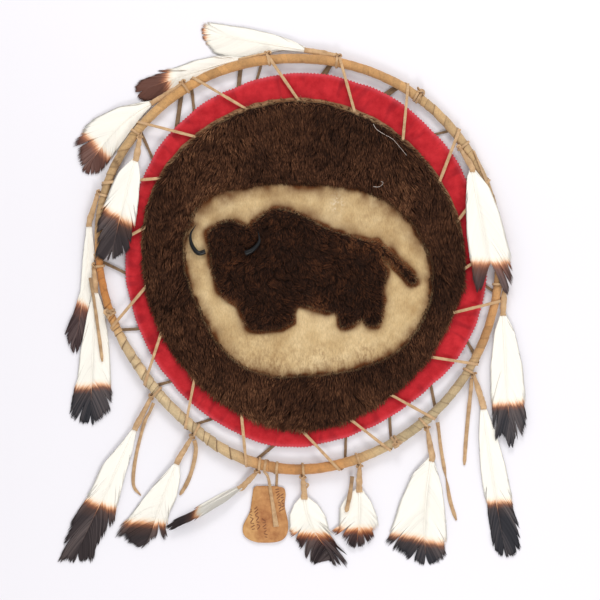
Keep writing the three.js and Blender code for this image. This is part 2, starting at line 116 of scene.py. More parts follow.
def polar(angle, radius, z=0.0):
    # Clockwise from the top: x is the radius by the angle's sine, y by its cosine.
    a = np.deg2rad(np.asarray(angle, float))
    radius, z, a = np.broadcast_arrays(radius, z, a)
    return np.stack([radius * np.sin(a), radius * np.cos(a), z], -1)


def polarOf(x, y):
    # The angle clockwise from the top and the radius.
    return np.rad2deg(np.arctan2(x, y)), np.hypot(x, y)


def unit(v):
    # Each vector divided by its length.
    return v / np.maximum(np.linalg.norm(v, axis=-1, keepdims=True), 1e-9)


def steps(line):
    # The length of each span of a bent line.
    return np.linalg.norm(np.diff(line, axis=0), axis=1)


def lengthsTo(line):
    # The length of a bent line up to each of its points.
    return np.concatenate([[0], np.cumsum(steps(line))])


def alongLine(points, share):
    # Points at shares of the length of a bent line, each mixed between its two neighbours.
    points = np.asarray(points, float)
    length = lengthsTo(points)
    at = np.asarray(share) * length[-1]
    return np.stack([np.interp(at, length, points[:, k]) for k in range(points.shape[1])], -1)


def smoothLine(points, count):
    # A smooth curve through points (each span a cubic whose end slopes are half the step between
    # the neighbours), then evenly spaced along its length.
    p = np.asarray(points, float)
    p = np.concatenate([2 * p[:1] - p[1:2], p, 2 * p[-1:] - p[-2:-1]])
    spans = len(p) - 3
    t = np.linspace(0, spans, spans * 24 + 1)
    i = np.minimum(t.astype(int), spans - 1)
    t = (t - i)[:, None]
    a, b, c, d = p[i], p[i + 1], p[i + 2], p[i + 3]
    line = 0.5 * (2 * b + (c - a) * t + (2 * a - 5 * b + 4 * c - d) * t * t
                  + (3 * b - a - 3 * c + d) * t ** 3)
    return alongLine(line, np.linspace(0, 1, count))


# Meshes

def gridFaces(rows, columns, closed=True, first=0):
    # Four-sided faces between the points of a grid, row by row; closed joins the last column to
    # the first one.
    i, j = np.meshgrid(np.arange(rows - 1), np.arange(columns if closed else columns - 1),
                       indexing="ij")
    m = (j + 1) % columns
    face = [i * columns + j, i * columns + m, (i + 1) * columns + m, (i + 1) * columns + j]
    return np.stack(face, -1).reshape(-1, 4) + first


def capFaces(ring, centre):
    # Triangles from a ring of points to one point.
    ring = np.asarray(ring)
    return np.stack([ring, np.roll(ring, -1), np.full(len(ring), centre)], -1)


def tubeFaces(rows, corners):
    # A closed tube: its rings row by row, and both ends closed on the two points after them.
    ring = np.arange(corners)
    last = (rows - 1) * corners
    ends = [capFaces(ring[::-1], rows * corners), capFaces(ring + last, rows * corners + 1)]
    return [gridFaces(rows, corners), np.concatenate(ends)]


def addObject(name, data):
    added = bpy.data.objects.new(name, data)
    bpy.context.scene.collection.objects.link(added)
    return added


lowest = 0.05  # millimetres over the floor that every place is kept above
pieceTriangles = []


def makePiece(name, places, faces, material, stands=(), marks=None, uv=None):
    # Places in millimetres, faces as arrays of corner numbers; faces that would point inwards,
    # which makes the summed volume negative, are all turned over.
    points = toRow(np.maximum(places, (-np.inf, -np.inf, lowest)))
    faces = [np.asarray(f) for f in faces if len(f)]
    volume = sum(np.sum(points[f[:, 0]] * np.cross(points[f[:, k]], points[f[:, k + 1]]))
                 for f in faces for k in range(1, f.shape[1] - 1))
    if volume < 0:
        faces = [f[:, ::-1] for f in faces]
    corners = np.concatenate([f.ravel() for f in faces]).astype(np.int32)
    sizes = np.concatenate([np.full(len(f), f.shape[1]) for f in faces])
    mesh = bpy.data.meshes.new(name)
    mesh.vertices.add(len(points))
    mesh.vertices.foreach_set("co", points.astype(np.float32).ravel())
    mesh.loops.add(len(corners))
    mesh.loops.foreach_set("vertex_index", corners)
    mesh.polygons.add(len(sizes))
    starts = np.concatenate([[0], np.cumsum(sizes)[:-1]]).astype(np.int32)
    mesh.polygons.foreach_set("loop_start", starts)
    mesh.polygons.foreach_set("use_smooth", np.ones(len(sizes), bool))
    mesh.update(calc_edges=True)
    for key, value in (marks or {}).items():
        value = np.asarray(value, np.float32)
        if value.ndim == 1:
            layer = mesh.attributes.new(key, "FLOAT", "POINT")
            layer.data.foreach_set("value", value)
        else:
            value = np.concatenate([value, np.ones((len(value), 1), np.float32)], 1)
            layer = mesh.attributes.new(key, "FLOAT_COLOR", "POINT")
            layer.data.foreach_set("color", value.ravel())
    if uv is not None:
        layer = mesh.uv_layers.new(name="OFBake")
        layer.data.foreach_set("uv", np.asarray(uv, np.float32)[corners].ravel())
    mesh.materials.append(material)
    piece = addObject(name, mesh)
    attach(piece, "root")
    if stands:
        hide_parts(*stands)
    triangles = int((sizes - 2).sum())
    print(f"{name}: {triangles} triangles")
    pieceTriangles.append(triangles)
    return piece


def framesAlong(line, across):
    # Side and up ways along a line: across less its part along the line, and their cross product.
    along = unit(np.gradient(line, axis=0))
    side = np.broadcast_to(np.asarray(across, float), line.shape)
    side = unit(side - np.sum(side * along, -1, keepdims=True) * along)
    return side, np.cross(along, side)


def levelSide(line):
    # The level way across a line: the cross product of its own way and straight up.
    return np.cross(unit(np.gradient(line, axis=0)), (0, 0, 1.0))


def strapMesh(line, across, width, thick, corners=8, edge=0.45):
    # A strap along a line: its section is a rounded box, cos and sin of the turn each raised to
    # a power under one with the sign kept; both ends are closed on a middle point.
    count = len(line)
    side, up = framesAlong(line, across)
    turn = (np.arange(corners) + 0.5) * 2 * np.pi / corners
    c, s = np.cos(turn), np.sin(turn)
    wide = np.sign(c) * np.abs(c) ** edge
    tall = np.sign(s) * np.abs(s) ** edge
    width = np.broadcast_to(width, count)[:, None, None] / 2
    thick = np.broadcast_to(thick, count)[:, None, None] / 2
    rings = line[:, None] + side[:, None] * wide[None, :, None] * width
    rings = rings + up[:, None] * tall[None, :, None] * thick
    places = np.concatenate([rings.reshape(-1, 3), line[:1], line[-1:]])
    return places, tubeFaces(count, corners)


def joinParts(parts):
    # Several meshes as one: the corner numbers of each start after the points before it.
    places, quads, tris, start = [], [], [], 0
    for part, faces in parts:
        places.append(part)
        for f in faces:
            (quads if f.shape[1] == 4 else tris).append(f + start)
        start += len(part)
    joined = [np.concatenate(group) for group in (quads, tris) if group]
    return np.concatenate(places), joined


# Materials

def paint(red, green, blue):
    # A colour from 0-255 screen values to the linear values that the shaders use.
    c = np.array([red, green, blue], float) / 255
    return np.where(c <= 0.04045, c / 12.92, ((c + 0.055) / 1.055) ** 2.4)


def rgba(colour):
    return (*[float(c) for c in colour], 1.0)


def node(tree, kind, inputs=None, **settings):
    added = tree.nodes.new(kind)
    for key, value in settings.items():
        setattr(added, key, value)
    for key, value in (inputs or {}).items():
        socket = added.inputs[key]
        if isinstance(value, bpy.types.NodeSocket):
            tree.links.new(value, socket)
        else:
            socket.default_value = value
    return added


def startMaterial(name, roughness, **sockets):
    # A material with those sockets of its shader set; _ stands for a space in a name.
    material = bpy.data.materials.new(name)
    material.use_nodes = True
    tree = material.node_tree
    shader = tree.nodes["Principled BSDF"]
    shader.inputs["Roughness"].default_value = roughness
    for key, value in sockets.items():
        shader.inputs[key.replace("_", " ")].default_value = value
    return material, tree, shader


def grain(tree, scale, detail, rough, stretch=None):
    # Noise at so many cells in a metre; stretch scales it differently along each axis.
    where = node(tree, "ShaderNodeTexCoord").outputs["Object"]
    if stretch:
        where = node(tree, "ShaderNodeMapping", {"Vector": where, "Scale": stretch}).outputs[0]
    return node(tree, "ShaderNodeTexNoise", {
        "Vector": where, "Scale": scale, "Detail": detail, "Roughness": rough}).outputs["Fac"]


def mark(tree, name, colour=False):
    # A value or colour that a piece has at each point.
    read = node(tree, "ShaderNodeAttribute", attribute_name=name)
    return read.outputs["Color" if colour else "Fac"]


def ramp(tree, factor, stops):
    # Colours or grey levels at places from 0 to 1 of the factor.
    ramped = node(tree, "ShaderNodeValToRGB", {"Fac": factor})
    points = ramped.color_ramp.elements
    while len(points) < len(stops):
        points.new(0.5)
    for point, (at, colour) in zip(points, stops):
        point.position = at
        if np.ndim(colour) == 0:
            colour = (colour, colour, colour)
        point.color = rgba(colour)
    return ramped.outputs["Color"]


def blend(tree, factor, a, b, kind="MIX"):
    # Two colours mixed, each a socket or fixed.
    mixer = node(tree, "ShaderNodeMix", data_type="RGBA", blend_type=kind)
    for socket, value in ((mixer.inputs[0], factor), (mixer.inputs[6], a), (mixer.inputs[7], b)):
        if isinstance(value, bpy.types.NodeSocket):
            tree.links.new(value, socket)
        else:
            socket.default_value = value if np.ndim(value) == 0 else rgba(value)
    return mixer.outputs[2]


def shaded(tree, share, colour, factor, stops):
    # The colour multiplied by grey levels or tints, in that share.
    return blend(tree, share, colour, ramp(tree, factor, stops), "MULTIPLY")


def sums(tree, kind, a, b):
    return node(tree, "ShaderNodeMath", {0: a, 1: b}, operation=kind).outputs[0]


def setColour(tree, shader, colour):
    tree.links.new(colour, shader.inputs["Base Color"])


def bump(tree, shader, height, distance, strength=1.0):
    bumped = node(tree, "ShaderNodeBump",
                  {"Height": height, "Distance": distance, "Strength": strength})
    tree.links.new(bumped.outputs[0], shader.inputs["Normal"])


def uvParts(tree):
    # The two values that a lock or a barb has in its map.
    place = node(tree, "ShaderNodeUVMap", uv_map="OFBake").outputs[0]
    parts = node(tree, "ShaderNodeSeparateXYZ", {0: place}).outputs
    return parts[0], parts[1]


def suede(name, roughness, dark, light):
    # Cut leather: cloudy colour between two tones, a fine nap, and a mark darkening it: a piece's
    # own tone, and on the lacing painted shade where it runs under the rod and the cloth.
    material, tree, shader = startMaterial(name, roughness, Sheen_Weight=0.15)
    clouds = grain(tree, 140, 5, 0.6)
    nap = grain(tree, 900, 2, 0.6)
    colour = ramp(tree, clouds, [(0.3, dark), (0.7, light)])
    colour = shaded(tree, 0.35, colour, nap, [(0.3, 0.62), (0.65, 1.0)])
    colour = shaded(tree, 1.0, colour, mark(tree, "toneAndShade"), [(0.0, (0.10, 0.075, 0.06)), (1.0, 1.0)])
    setColour(tree, shader, colour)
    bump(tree, shader, sums(tree, "ADD", clouds, sums(tree, "MULTIPLY", nap, 0.5)), 0.0004)
    return material


# Camera, floor and light

view = {
    "height": 2.61, "middle": (0.0106, -0.0008), "sensor": 36,
    "width": 0.9, "aim": 0.01,  # width of the view, and the height where it is that wide
}
ground = {"half": 6.0, "colour": (0.845, 0.83, 0.865, 1)}
studio = {
    "sky": (0.985, 0.98, 1.0, 1), "strength": 0.7,
    "lamps": [  # name, place, size across, power, colour; each points at the origin
        ("upper lamp", (0.1, 1.85, 1.6), 0.9, 21.5, (1.0, 0.985, 0.965)),
        ("lower lamp", (0.4, -1.75, 1.8), 0.9, 17.8, (1.0, 0.985, 0.965)),
        ("right lamp", (2.1, 0.1, 1.9), 1.2, 9, (1.0, 0.99, 0.98)),
    ],
}


def setView():
    # The lens is long enough for the view's width to fill the sensor from that height.
    data = bpy.data.cameras.new("camera")
    data.sensor_width = view["sensor"]
    data.lens = view["sensor"] * (view["height"] - view["aim"]) / view["width"]
    data.clip_end = 20
    camera = addObject("camera", data)
    camera.location = (*view["middle"], view["height"])
    bpy.context.scene.camera = camera


def setFloor():
    half = ground["half"]
    mesh = bpy.data.meshes.new("floor")
    mesh.from_pydata([(-half, -half, 0), (half, -half, 0), (half, half, 0), (-half, half, 0)],
                     [], [(0, 1, 2, 3)])
    material, _, shader = startMaterial("floor", 0.9, Specular_IOR_Level=0.1)
    shader.inputs["Base Color"].default_value = ground["colour"]
    mesh.materials.append(material)
    addObject("floor", mesh)


def setLight():
    scene = bpy.context.scene
    scene.world = bpy.data.worlds.new("studio")
    scene.world.use_nodes = True
    sky = scene.world.node_tree.nodes["Background"]
    sky.inputs["Color"].default_value = studio["sky"]
    sky.inputs["Strength"].default_value = studio["strength"]
    for name, place, size, power, colour in studio["lamps"]:
        data = bpy.data.lights.new(name, "AREA")
        data.shape = "DISK"
        data.size = size
        data.energy = power
        data.color = colour
        lamp = addObject(name, data)
        lamp.location = place
        lamp.rotation_euler = (-Vector(place)).to_track_quat("-Z", "Y").to_euler()
    scene.view_settings.view_transform = "Standard"
    scene.view_settings.look = "None"


setView()
setFloor()
setLight()
print("camera, floor and light set")

# Loose thong ends

thongLeather = suede("thong leather", 0.85, paint(182, 142, 100), paint(218, 182, 138))

tails = {
    "thick": 2.2, "points": 64, "corners": 10,
    "cutFrom": 0.93, "cutWidth": 0.45,  # share of the length where the end narrows, and to what
    "pinchDepth": 0.62, "pinchSpan": 0.06,  # where a strip has a pinch, at that share
    "ends": [
        {"name": "thong_end_left", "width": 5, "toneAndShade": (0.55, 0.9),
         "route": [[-311, -22, 12.5], [-309, -33, 12.4], [-305, -56, 12], [-300, -93, 9.5],
                   [-296, -123, 8], [-293, -148, 7]]},
        {"name": "thong_end_lower_left", "width": 5, "toneAndShade": (0.75, 0.85),
         "route": [[-216, -210, 9.5], [-222, -224, 8.6], [-229, -237, 5.8], [-236.5, -262, 2.2],
                   [-243, -290, 1.2], [-247, -318, 1.2], [-246, -337, 1.2], [-236, -349.5, 1.2]]},
        {"name": "thong_end_bottom_left", "width": 6, "toneAndShade": (0.85, 0.75),
         "route": [[-155, -266, 9.5], [-152.5, -278, 8.8], [-155, -296, 4], [-161, -318, 1.4],
                   [-169, -336, 1.2], [-177, -349, 1.2]]},
        {"name": "thong_end_bottom", "width": 6.5, "toneAndShade": (0.45, 0.95),
         "route": [[82, -320, 10], [81, -330, 9.9], [78, -351, 8.8], [73, -374, 7.4]]},
        {"name": "thong_end_lower_right", "width": 5.5, "pinch": 0.57, "toneAndShade": (0.8, 0.8),
         "route": [[210, -239, 9.5], [212, -252, 8.9], [215, -275, 5], [220, -304, 1.4],
                   [225, -331, 1.2], [230, -359, 1.2], [239, -387, 1.2]]},
        {"name": "thong_end_right", "width": 5.5, "toneAndShade": (0.75, 0.9),
         "route": [[261.5, -173, 9.5], [260.5, -186, 8.9], [259, -205, 5.4], [255.5, -243, 1.6],
                   [253, -273, 1.2], [251, -304, 1.2]]},
    ],
}


def makeTail(end, seed):
    # A limp strip along its route: a rounded box section whose width wavers along the strip
    # and narrows at a cut end.
    count, corners = tails["points"], tails["corners"]
    line = smoothLine(end["route"], count)
    share = np.linspace(0, 1, count)
    width = end["width"] * (1 + 0.14 * noise(share * 9, seed, 3))
    width = width * mix(1.0, tails["cutWidth"], smooth(share, tails["cutFrom"], 1.0))
    if "pinch" in end:
        away = (share - end["pinch"]) / tails["pinchSpan"]
        width = width * (1 - tails["pinchDepth"] * np.exp(-away ** 2))
    thick = tails["thick"] * (1 + 0.12 * noise(share * 14, seed, 4))
    places, faces = strapMesh(line, levelSide(line), width, thick, corners=corners, edge=0.5)
    toneAndShade = np.repeat(mix(*end["toneAndShade"], share) + 0.12 * noise(share * 12, seed, 5), corners)
    toneAndShade = np.concatenate([toneAndShade, toneAndShade[:1], toneAndShade[-1:]])
    piece = makePiece(end["name"] + "_strip", places, faces, thongLeather,
                      stands=[end["name"]], marks={"toneAndShade": toneAndShade})


for number, end in enumerate(tails["ends"]):
    makeTail(end, number)
print("thong ends made")

# Hoop

rod = {
    "height": 10.0,  # of its middle line
    "line": [[0, 307], [32, 307.5], [62, 306], [100, 302], [125, 303], [150, 305], [182, 309.5],
             [200, 302], [212, 292], [225, 286.5], [237, 284.5], [250, 288.5], [270, 297],
             [290, 308], [305, 311], [332, 311]],
    "half": [[0, 7.1], [60, 7], [100, 6.4], [150, 7.1], [192, 8], [235, 7.5], [267, 5.6],
             [300, 6.6], [338, 7.3]],
    "turns": 118,  # of the hide strip round the rod
    "sides": 22,
    # the grid's rows across one turn of the strip, in shares of it
    "across": [0, 0.022, 0.05, 0.1, 0.18, 0.28, 0.4, 0.52, 0.64, 0.76, 0.86, 0.93, 0.97],
    # how the turns crowd: so many waves round the hoop, and their size in turns
    "uneven": [(7, 0.5), (17, 0.3), (31, 0.2), (43, 0.14)],
    "worn": [(299.5, 2.0), (238.5, 1.6), (262.5, 0.7)],  # dark places: angle, width
    "lap": [[0, 0.3], [28, 0.35], [45, 0.85], [100, 0.6], [125, 0.9], [165, 0.55], [182, 0.3],
            [195, 1.4], [255, 1.5], [268, 0.45], [285, 0.85], [305, 1.0], [318, 0.35]],
    "colours": [  # angle, then screen colour of the hide there
        [0, 198, 148, 92], [26, 195, 147, 92], [40, 196, 160, 112], [75, 192, 158, 114],
        [100, 190, 140, 88], [112, 188, 138, 86], [124, 186, 160, 120], [155, 190, 164, 122],
        [170, 196, 140, 82], [188, 190, 138, 84], [200, 202, 172, 128], [245, 208, 178, 134],
        [256, 200, 138, 74], [268, 196, 128, 66], [280, 188, 150, 104], [310, 196, 158, 108],
        [325, 203, 152, 92]],
}
rodLine = around(rod["line"])
rodHalf = around(rod["half"])


def onRod(angle, turn, off=0.0):
    # The rod's surface at an angle round the hoop and a turn round the rod, 0 outside, 90 on top.
    t = np.deg2rad(np.asarray(turn, float))
    r = rodHalf(angle) + off
    return polar(angle, rodLine(angle) + r * np.cos(t), rod["height"] + r * np.sin(t))


def buckskin():
    # Brain-tan hide: colour from the mark "dye", clouded and speckled, dark where strips overlap.
    material, tree, shader = startMaterial("buckskin wrap", 0.78, Sheen_Weight=0.12)
    clouds = grain(tree, 55, 6, 0.62)
    colour = shaded(tree, 1.0, mark(tree, "dye", True), clouds,
                    [(0.25, 0.68), (0.5, 0.98), (0.8, 1.16)])
    specks = grain(tree, 420, 3, 0.65)
    colour = shaded(tree, 0.55, colour, specks, [(0.3, 0.6), (0.55, 1.0)])
    colour = shaded(tree, 1.0, colour, mark(tree, "seam"), [(0.0, 1.0), (1.0, (0.20, 0.12, 0.07))])
    setColour(tree, shader, colour)
    creases = grain(tree, 190, 5, 0.7)
    bump(tree, shader, sums(tree, "ADD", creases, sums(tree, "MULTIPLY", specks, 0.3)), 0.0007)
    return material


def makeHoop():
    # The grid runs with the hide strip: a row is a place along the strip, counted in turns x, and
    # a column is a turn round the rod, whose angle round the hoop is that of x plus the share of
    # the turn, so the last column meets the first one a turn further on. The strip stands lap
    # above the rod at its near edge and falls to nothing at its far edge.
    step = np.array(rod["across"])
    turns, sides, rows = rod["turns"], rod["sides"], len(step)
    x = (np.arange(turns)[:, None] + step).ravel()[:, None] + np.arange(sides) / sides
    phase = np.broadcast_to(np.tile(step, turns)[:, None], x.shape)
    wave = sum(size * np.sin(2 * np.pi * k * x / turns + k)
               for k, size in rod["uneven"])
    angle = 360 * (x + wave) / turns
    turn = np.broadcast_to(360 * np.arange(sides) / sides, x.shape)
    lap = around(rod["lap"])(angle) * (0.7 + 0.6 * noise(np.floor(x - turn / 360), 0.5, 11))
    rise = np.minimum(phase / 0.05, 1) ** 0.6 * (1 - phase)
    t = np.deg2rad(turn)
    spot = polar(angle, rodLine(angle)) * 0.16
    wrinkle = noise(spot[..., 0] * 1.7 + np.cos(t) * 1.5, spot[..., 1] * 1.7 + np.sin(t) * 1.5, 12)
    lump = noise(angle * 0.35, np.cos(t) * 0.8, 13)
    off = lap * (rise - 0.45) + 0.22 * wrinkle + 0.3 * lump
    places = onRod(angle, turn, off)
    i, j = np.meshgrid(np.arange(len(x)), np.arange(sides), indexing="ij")
    k, m = (i + 1) % len(x), (j + 1) % sides
    carry = np.where(j + 1 == sides, rows, 0)
    face = [i * sides + j, (i + carry) % len(x) * sides + m,
            (k + carry) % len(x) * sides + m, k * sides + j]
    faces = np.stack(face, -1).reshape(-1, 4)
    dye = around(rod["colours"])(angle)
    dye = dye * (1 + 0.07 * noise(np.floor(x - turn / 360) * 1.3, 2.2, 14))[..., None]
    dye = np.where(dye <= 10.3, dye / 3294, ((dye / 255 + 0.055) / 1.055) ** 2.4)
    seam = np.exp(-((phase + 0.03) / 0.05) ** 2) + np.exp(-((phase - 1.0) / 0.055) ** 2)
    seam = np.clip(seam * lap * 0.85, 0, 1)
    for at, wide in rod["worn"]:
        worn = smooth(noise(angle * 1.1, turn * 0.02, 15), -0.2, 0.5)
        seam = np.maximum(seam, 0.75 * np.exp(-((angle - at) / wide) ** 2) * worn)
    marks = {"dye": dye.reshape(-1, 3), "seam": seam.ravel()}
    makePiece("hoop_wrap", places.reshape(-1, 3), [faces], buckskin(),
              stands=["hoop"], marks=marks)


makeHoop()
print("hoop made")

# Red cloth

cloth = {
    "low": 6.6, "thick": 1.6, "teeth": 352, "tooth": 1.7,
    "rings": [0.2, 0.4, 0.6, 0.72, 0.8, 0.83, 0.855, 0.875, 0.895, 0.915, 0.935, 0.955, 0.97,
              0.982, 0.992, 1.0],
    "edge": [[0, 285], [31, 286], [50, 283], [100, 285], [125, 277.5], [140, 270], [163, 271.5],
             [185, 276.5], [212, 265.5], [245, 257.5], [265, 258], [290, 262.5], [318, 274.5],
             [340, 280]],
}
skin = {
    "top": 11.0, "low": 8.5, "holeInset": 5, "points": 384, "rings": 100,
    "edge": [[0, 248], [40, 246], [90, 252], [125, 242], [155, 245], [180, 250], [215, 235],
             [245, 229], [270, 233], [300, 245], [335, 247]],
    "window": [[0, 119], [20, 126], [50, 157], [75, 183], [97, 203], [125, 202], [150, 181],
               [172, 169], [205, 174], [245, 162], [285, 172], [305, 166], [328, 136]],
}
lacing = {
    "width": 4.3, "thick": 1.2, "spacing": 1.55,
    # strands under hoop and cloth, dark with painted shade: two [angle, radius, height] ends and a
    # width
    "extra": [[[326, 311, 2.4], [317, 268, 5.2], 6.6], [[344, 309, 2.2], [340.5, 269, 5.2], 6.6],
              [[9.8, 306, 2.3], [7, 272, 5.2], 6.0], [[30, 306, 2.4], [26.5, 270, 5.2], 5.2]],
    # the extra strands' tone is their painted shade
    "extraThick": 1.4, "extraPaintedShade": 0.24, "extraPoints": 14,
    # for each step: the angle at the rod's outer side, the hole's, and where it comes back
    "steps": [[-8.5, 0.5, 9.6], [11.4, 20.8, 29.3], [31.6, 40.9, 49.2], [50.4, 60.5, 65],
              [66.5, 75.6, 82.5], [84, 92.6, 98.4], [100.6, 108.2, 117.4], [119.3, 126.1, 136.6],
              [138.6, 145.1, 152.4], [153.6, 162.2, 166.5], [168.4, 179.8, 192.2],
              [194, 201, 212.8], [214.1, 222.3, 229.4], [231.3, 244.3, 249.5],
              [250.6, 262, 270.6], [272, 283.4, 290.8], [292.2, 301.9, 310.1],
              [311.4, 321.3, 329], [330.4, 341.8, 350]],
}
clothEdge = around(cloth["edge"])
skinEdge = around(skin["edge"])
windowEdge = around(skin["window"])
holeAngles = np.array([step[1] for step in lacing["steps"]])


def nearHole(angle, wide):
    # 1 at each lacing hole's angle, falling off round it as a bell so many degrees wide.
    away = np.abs((np.asarray(angle)[..., None] - holeAngles + 180) % 360 - 180).min(-1)
    return np.exp(-(away / wide) ** 2)


def wool():
    # Milled wool: short fibres every way, thin and thick places, a soft sheen, no sharp thread.
    material, tree, shader = startMaterial(
        "red wool", 0.95, Sheen_Weight=0.3, Sheen_Roughness=0.5,
        Sheen_Tint=(1.0, 0.7, 0.62, 1), Specular_IOR_Level=0.15)
    clouds = grain(tree, 70, 5, 0.6)
    fibre = grain(tree, 1500, 3, 0.75)
    colour = ramp(tree, clouds, [(0.3, paint(172, 24, 34)), (0.7, paint(206, 44, 52))])
    colour = shaded(tree, 0.5, colour, fibre, [(0.3, 0.62), (0.7, 1.12)])
    # Painted shade: the mark "fold" darkens the red in the troughs of the folds and in the dips at
    # the lacing holes.
    colour = blend(tree, mark(tree, "fold"), colour, paint(120, 12, 26))
    colour = blend(tree, mark(tree, "cut"), colour, paint(226, 92, 104))
    setColour(tree, shader, colour)
    bump(tree, shader, fibre, 0.0005, 0.8)
    return material


def makeCloth():
    # Rings from the middle out, in shares of the edge radius, over the top and back underneath;
    # the edge goes in and out at every second point. Outside the hide the cloth waves up and
    # down, dips between the lacing holes, and has low folds that run out from them.
    count = cloth["teeth"] * 2
    angle = np.arange(count) * 360 / count
    share = np.array(cloth["rings"])[:, None]
    tooth = np.where(np.arange(count) % 2, -1, 1) * cloth["tooth"] / 2
    edge = clothEdge(angle) + 1.5 * noise(angle * 0.22, 0.5, 21)
    radius = share * edge + tooth * smooth(share, 0.978, 1.0)
    place = polar(angle, radius)
    outside = radius - skinEdge(angle)
    free = smooth(outside, -6, 24)
    wave = 1.5 * noise(angle * 0.105, share * 3, 22) + 1.1 * noise(angle * 0.31, share * 5, 23)
    fold = noise(angle * 0.9 + 2.2 * noise(place[..., 0] * 0.03, place[..., 1] * 0.03, 24),
                 share * 7, 25)
    pull = nearHole(angle, 4.0)
    z = free * (wave + 0.55 * fold + 0.5 - 1.3 * pull * smooth(outside, 0, 12))
    z = z + 0.16 * noise(place[..., 0] * 0.33, place[..., 1] * 0.33, 26)
    middle = cloth["low"] + cloth["thick"] / 2 + z * smooth(outside, -10, 4)
    half = cloth["thick"] / 2 * mix(1.0, 0.62, smooth(share, 0.975, 1.0))
    top = np.concatenate([place[..., :2], (middle + half)[..., None]], -1)
    low = np.concatenate([place[..., :2], (middle - half)[..., None]], -1)
    rings = np.concatenate([top, low[::-1]])
    centre = np.array([[0, 0, cloth["low"] + cloth["thick"]], [0, 0, cloth["low"]]])
    places = np.concatenate([rings.reshape(-1, 3), centre])
    # Painted shade for the troughs of the folds and the dips at the lacing holes.
    dark = smooth(-fold, 0.25, 0.8) * free * 0.5 + 0.5 * pull * np.exp(-(outside / 9) ** 2)
    cut = smooth(share, 0.975, 1.0) * np.ones_like(angle) * 0.5
    flip = [np.concatenate([m, m[::-1]]).ravel() for m in (np.clip(dark, 0, 1), cut)]
    marks = {"fold": np.append(flip[0], [0, 0]), "cut": np.append(flip[1], [0, 0])}
    piece = makePiece("wool_disc", places, tubeFaces(len(rings), count), wool(),
                      stands=["cloth_backing"], marks=marks)
    area = float(np.sum(clothEdge(angle) ** 2) * np.pi / count) / 1e6


makeCloth()
print("cloth made")

# Hide, its sheared window and the standing bison

bison = {
    "back": [[-135, 46], [-130, 51], [-103, 64], [-73, 54], [-65, 62], [-47, 76], [-31, 82],
             [-1, 75], [50, 50], [103, 34], [119, 33]],
    "tail": [[119, 33], [143, 14], [167, -10], [179, -27], [170, -32], [157, -18], [136, 3],
             [128, 8]],
    "rump": [[128, 8], [134, -16], [128, -38], [128, -62], [122, -92], [103, -93]],
    "legs": [[98, -84], [89, -88], [79, -94], [65, -96], [60, -76], [37, -72], [-1, -64],
             [-7, -93]],
    "chest": [[-25, -99], [-62, -102], [-76, -93], [-89, -64], [-113, -48], [-128, -10],
              [-131, 10], [-135, 46]],
}
fur = {
    "under": 7.5,  # height of the dense undercoat on the band
    "bison": 5.0,
    "spacing": 1.7, "length": (14, 23), "width": 1.0, "clump": 12.5,
    "colours": [(0.0, (30, 17, 11)), (0.4, (64, 39, 26)), (0.7, (96, 62, 42)),
                (1.0, (142, 100, 70))],
    "bisonSpacing": 1.58, "bisonLength": (8, 14), "bisonClump": 11.0,
    "bisonColours": [(0.0, (27, 15, 10)), (0.35, (50, 30, 20)), (0.6, (88, 52, 32)),
                     (1.0, (148, 98, 62))],
    "hairs": [[[113, 207], [118, 199], [130, 191], [142, 184], [153, 172], [163, 160]],
              [[113, 113.6], [119, 113], [124, 114.5], [127.6, 119], [124.5, 121.5]]],
    "hairPoints": 40, "hairHeight": 7.6, "hairWidths": (0.7, 0.45),
}
bisonLine = np.concatenate([smoothLine(bison[run], 40)[:-1]
                            for run in ("back", "tail", "rump", "legs", "chest")])


def insideLine(x, y, line):
    # Distance to a closed line, positive inside: the least distance to its segments, with the
    # sign from how many of them a ray to the right crosses.
    a, b = line, np.roll(line, -1, 0)
    shape = np.shape(x)
    p = np.stack([np.ravel(x), np.ravel(y)], -1)
    found = np.empty(len(p))
    for part in np.array_split(np.arange(len(p)), max(1, len(p) // 8000)):
        q = p[part, None]
        t = np.clip(np.sum((q - a) * (b - a), -1) / np.sum((b - a) ** 2, -1), 0, 1)
        away = np.linalg.norm(q - a - t[..., None] * (b - a), axis=-1).min(1)
        above = (a[:, 1] > q[..., 1]) != (b[:, 1] > q[..., 1])
        tall = np.where(b[:, 1] == a[:, 1], 1e-9, b[:, 1] - a[:, 1])
        cross = above & (q[..., 0] < a[:, 0] + (q[..., 1] - a[:, 1]) * (b - a)[:, 0] / tall)
        found[part] = np.where(cross.sum(1) % 2, away, -away)
    return found.reshape(shape)


def furEdges(x, y):
    # How far inside the band's outer and inner edges a place lies, both edges a little ragged.
    angle, radius = polarOf(x, y)
    ragged = 2.6 * noise(angle * 0.33, 0.5, 31) + 1.6 * noise(angle * 1.1, 0.5, 32)
    inset = 2.0 + 1.4 * smooth(np.cos(np.deg2rad(angle)), 0.1, 0.7)
    outer = skinEdge(angle) - inset - radius + 0.7 * ragged
    inner = radius - windowEdge(angle) + 0.8 * ragged
    return outer, inner


def furHeight(x, y):
    # The undercoat over the skin: on the band it rises steeply from both edges and rolls in low
    # humps; on the bison it rises from its outline.
    outer, inner = furEdges(x, y)
    band = smooth(outer, -1, 9) * smooth(inner, -1, 11)
    humps = 1 + 0.3 * noise(np.asarray(x) * 0.055, np.asarray(y) * 0.055, 33)
    stands = smooth(insideLine(x, y, bisonLine), -1.0, 5.0)
    return np.maximum(fur["under"] * band * humps, fur["bison"] * stands)


